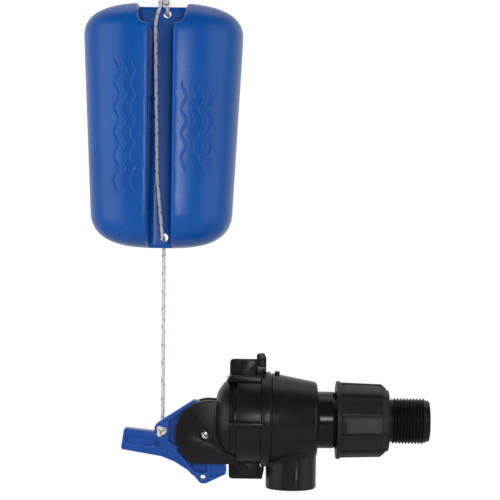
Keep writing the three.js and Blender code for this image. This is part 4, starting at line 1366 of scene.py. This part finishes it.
for node, look in KEPT.items():
    kept = frame["nodes"][node]
    kept.material_slots[0].link = "OBJECT"
    kept.material_slots[0].material = LOOKS[look]


# ---- stage and light

FLOOR_DROP = 280
FLOOR_R = 1000
FLOOR_THICK = 20
ROOM_FRONT = 0.1
ROOM_BACK = 0.75


def make_stage():
    """A round grey floor, below the main view."""
    low = -FLOOR_DROP - FLOOR_THICK
    line = [(low, 0), (low, FLOOR_R), (-FLOOR_DROP, FLOOR_R), (-FLOOR_DROP, 0)]
    floor = lathe(line, "Z", (CAMERA_PLACE[0], 0, 0), FINE)
    LOOKS["floor"] = new_material("studio_floor", (0.6, 0.6, 0.6), 0.9)[0]
    piece = add_object(floor, "studio_floor", "floor")


def make_light(name, place, target, size, power, mirrored=True):
    """A rectangular light. Shiny faces show it only if it is mirrored."""
    data = bpy.data.lights.new(name, "AREA")
    data.shape = "RECTANGLE"
    data.size, data.size_y = (value * MM for value in size)
    data.energy = power
    light = bpy.data.objects.new(name, data)
    light.location = Vector(place) * MM
    light.visible_glossy = mirrored
    aim = (Vector(target) - Vector(place)).to_track_quat("-Z", "Y")
    light.rotation_euler = aim.to_euler()
    scene.collection.objects.link(light)


def make_world():
    """White to the camera, and to all else a dim room that brightens behind the object."""
    world = bpy.data.worlds.new("studio")
    world.use_nodes = True
    tree = world.node_tree
    back = tree.nodes["Background"]
    place = tree.nodes.new("ShaderNodeTexCoord").outputs["Generated"]
    split = tree.nodes.new("ShaderNodeSeparateXYZ")
    tree.links.new(place, split.inputs["Vector"])
    room = spread_to(tree, split.outputs["Y"], ROOM_FRONT, ROOM_BACK, -0.25, 0.8)
    ray = tree.nodes.new("ShaderNodeLightPath")
    seen = tree.nodes.new("ShaderNodeMix")
    seen.data_type = "FLOAT"
    tree.links.new(ray.outputs["Is Camera Ray"], seen.inputs["Factor"])
    tree.links.new(room, seen.inputs["A"])
    seen.inputs["B"].default_value = 1.0
    back.inputs["Color"].default_value = (1, 1, 1, 1)
    tree.links.new(seen.outputs["Result"], back.inputs["Strength"])
    scene.world = world
    scene.view_settings.view_transform = "Standard"


make_stage()
make_world()
make_light("left_box", (-1500, -620, 200), (-150, 0, 150), (1300, 1500), 9)
make_light("right_box", (1250, -620, 200), (-150, 0, 150), (1300, 1500), 6)
make_light("top_box", (-150, 300, 1400), (-150, 0, 100), (1400, 700), 2.5)
make_light("front_strip", (-20, -1000, 170), (-90, 0, 20), (170, 230), 1.6)
make_light("front_fill", (-150, -1300, 260), (-150, 0, 100), (900, 900), 5, False)
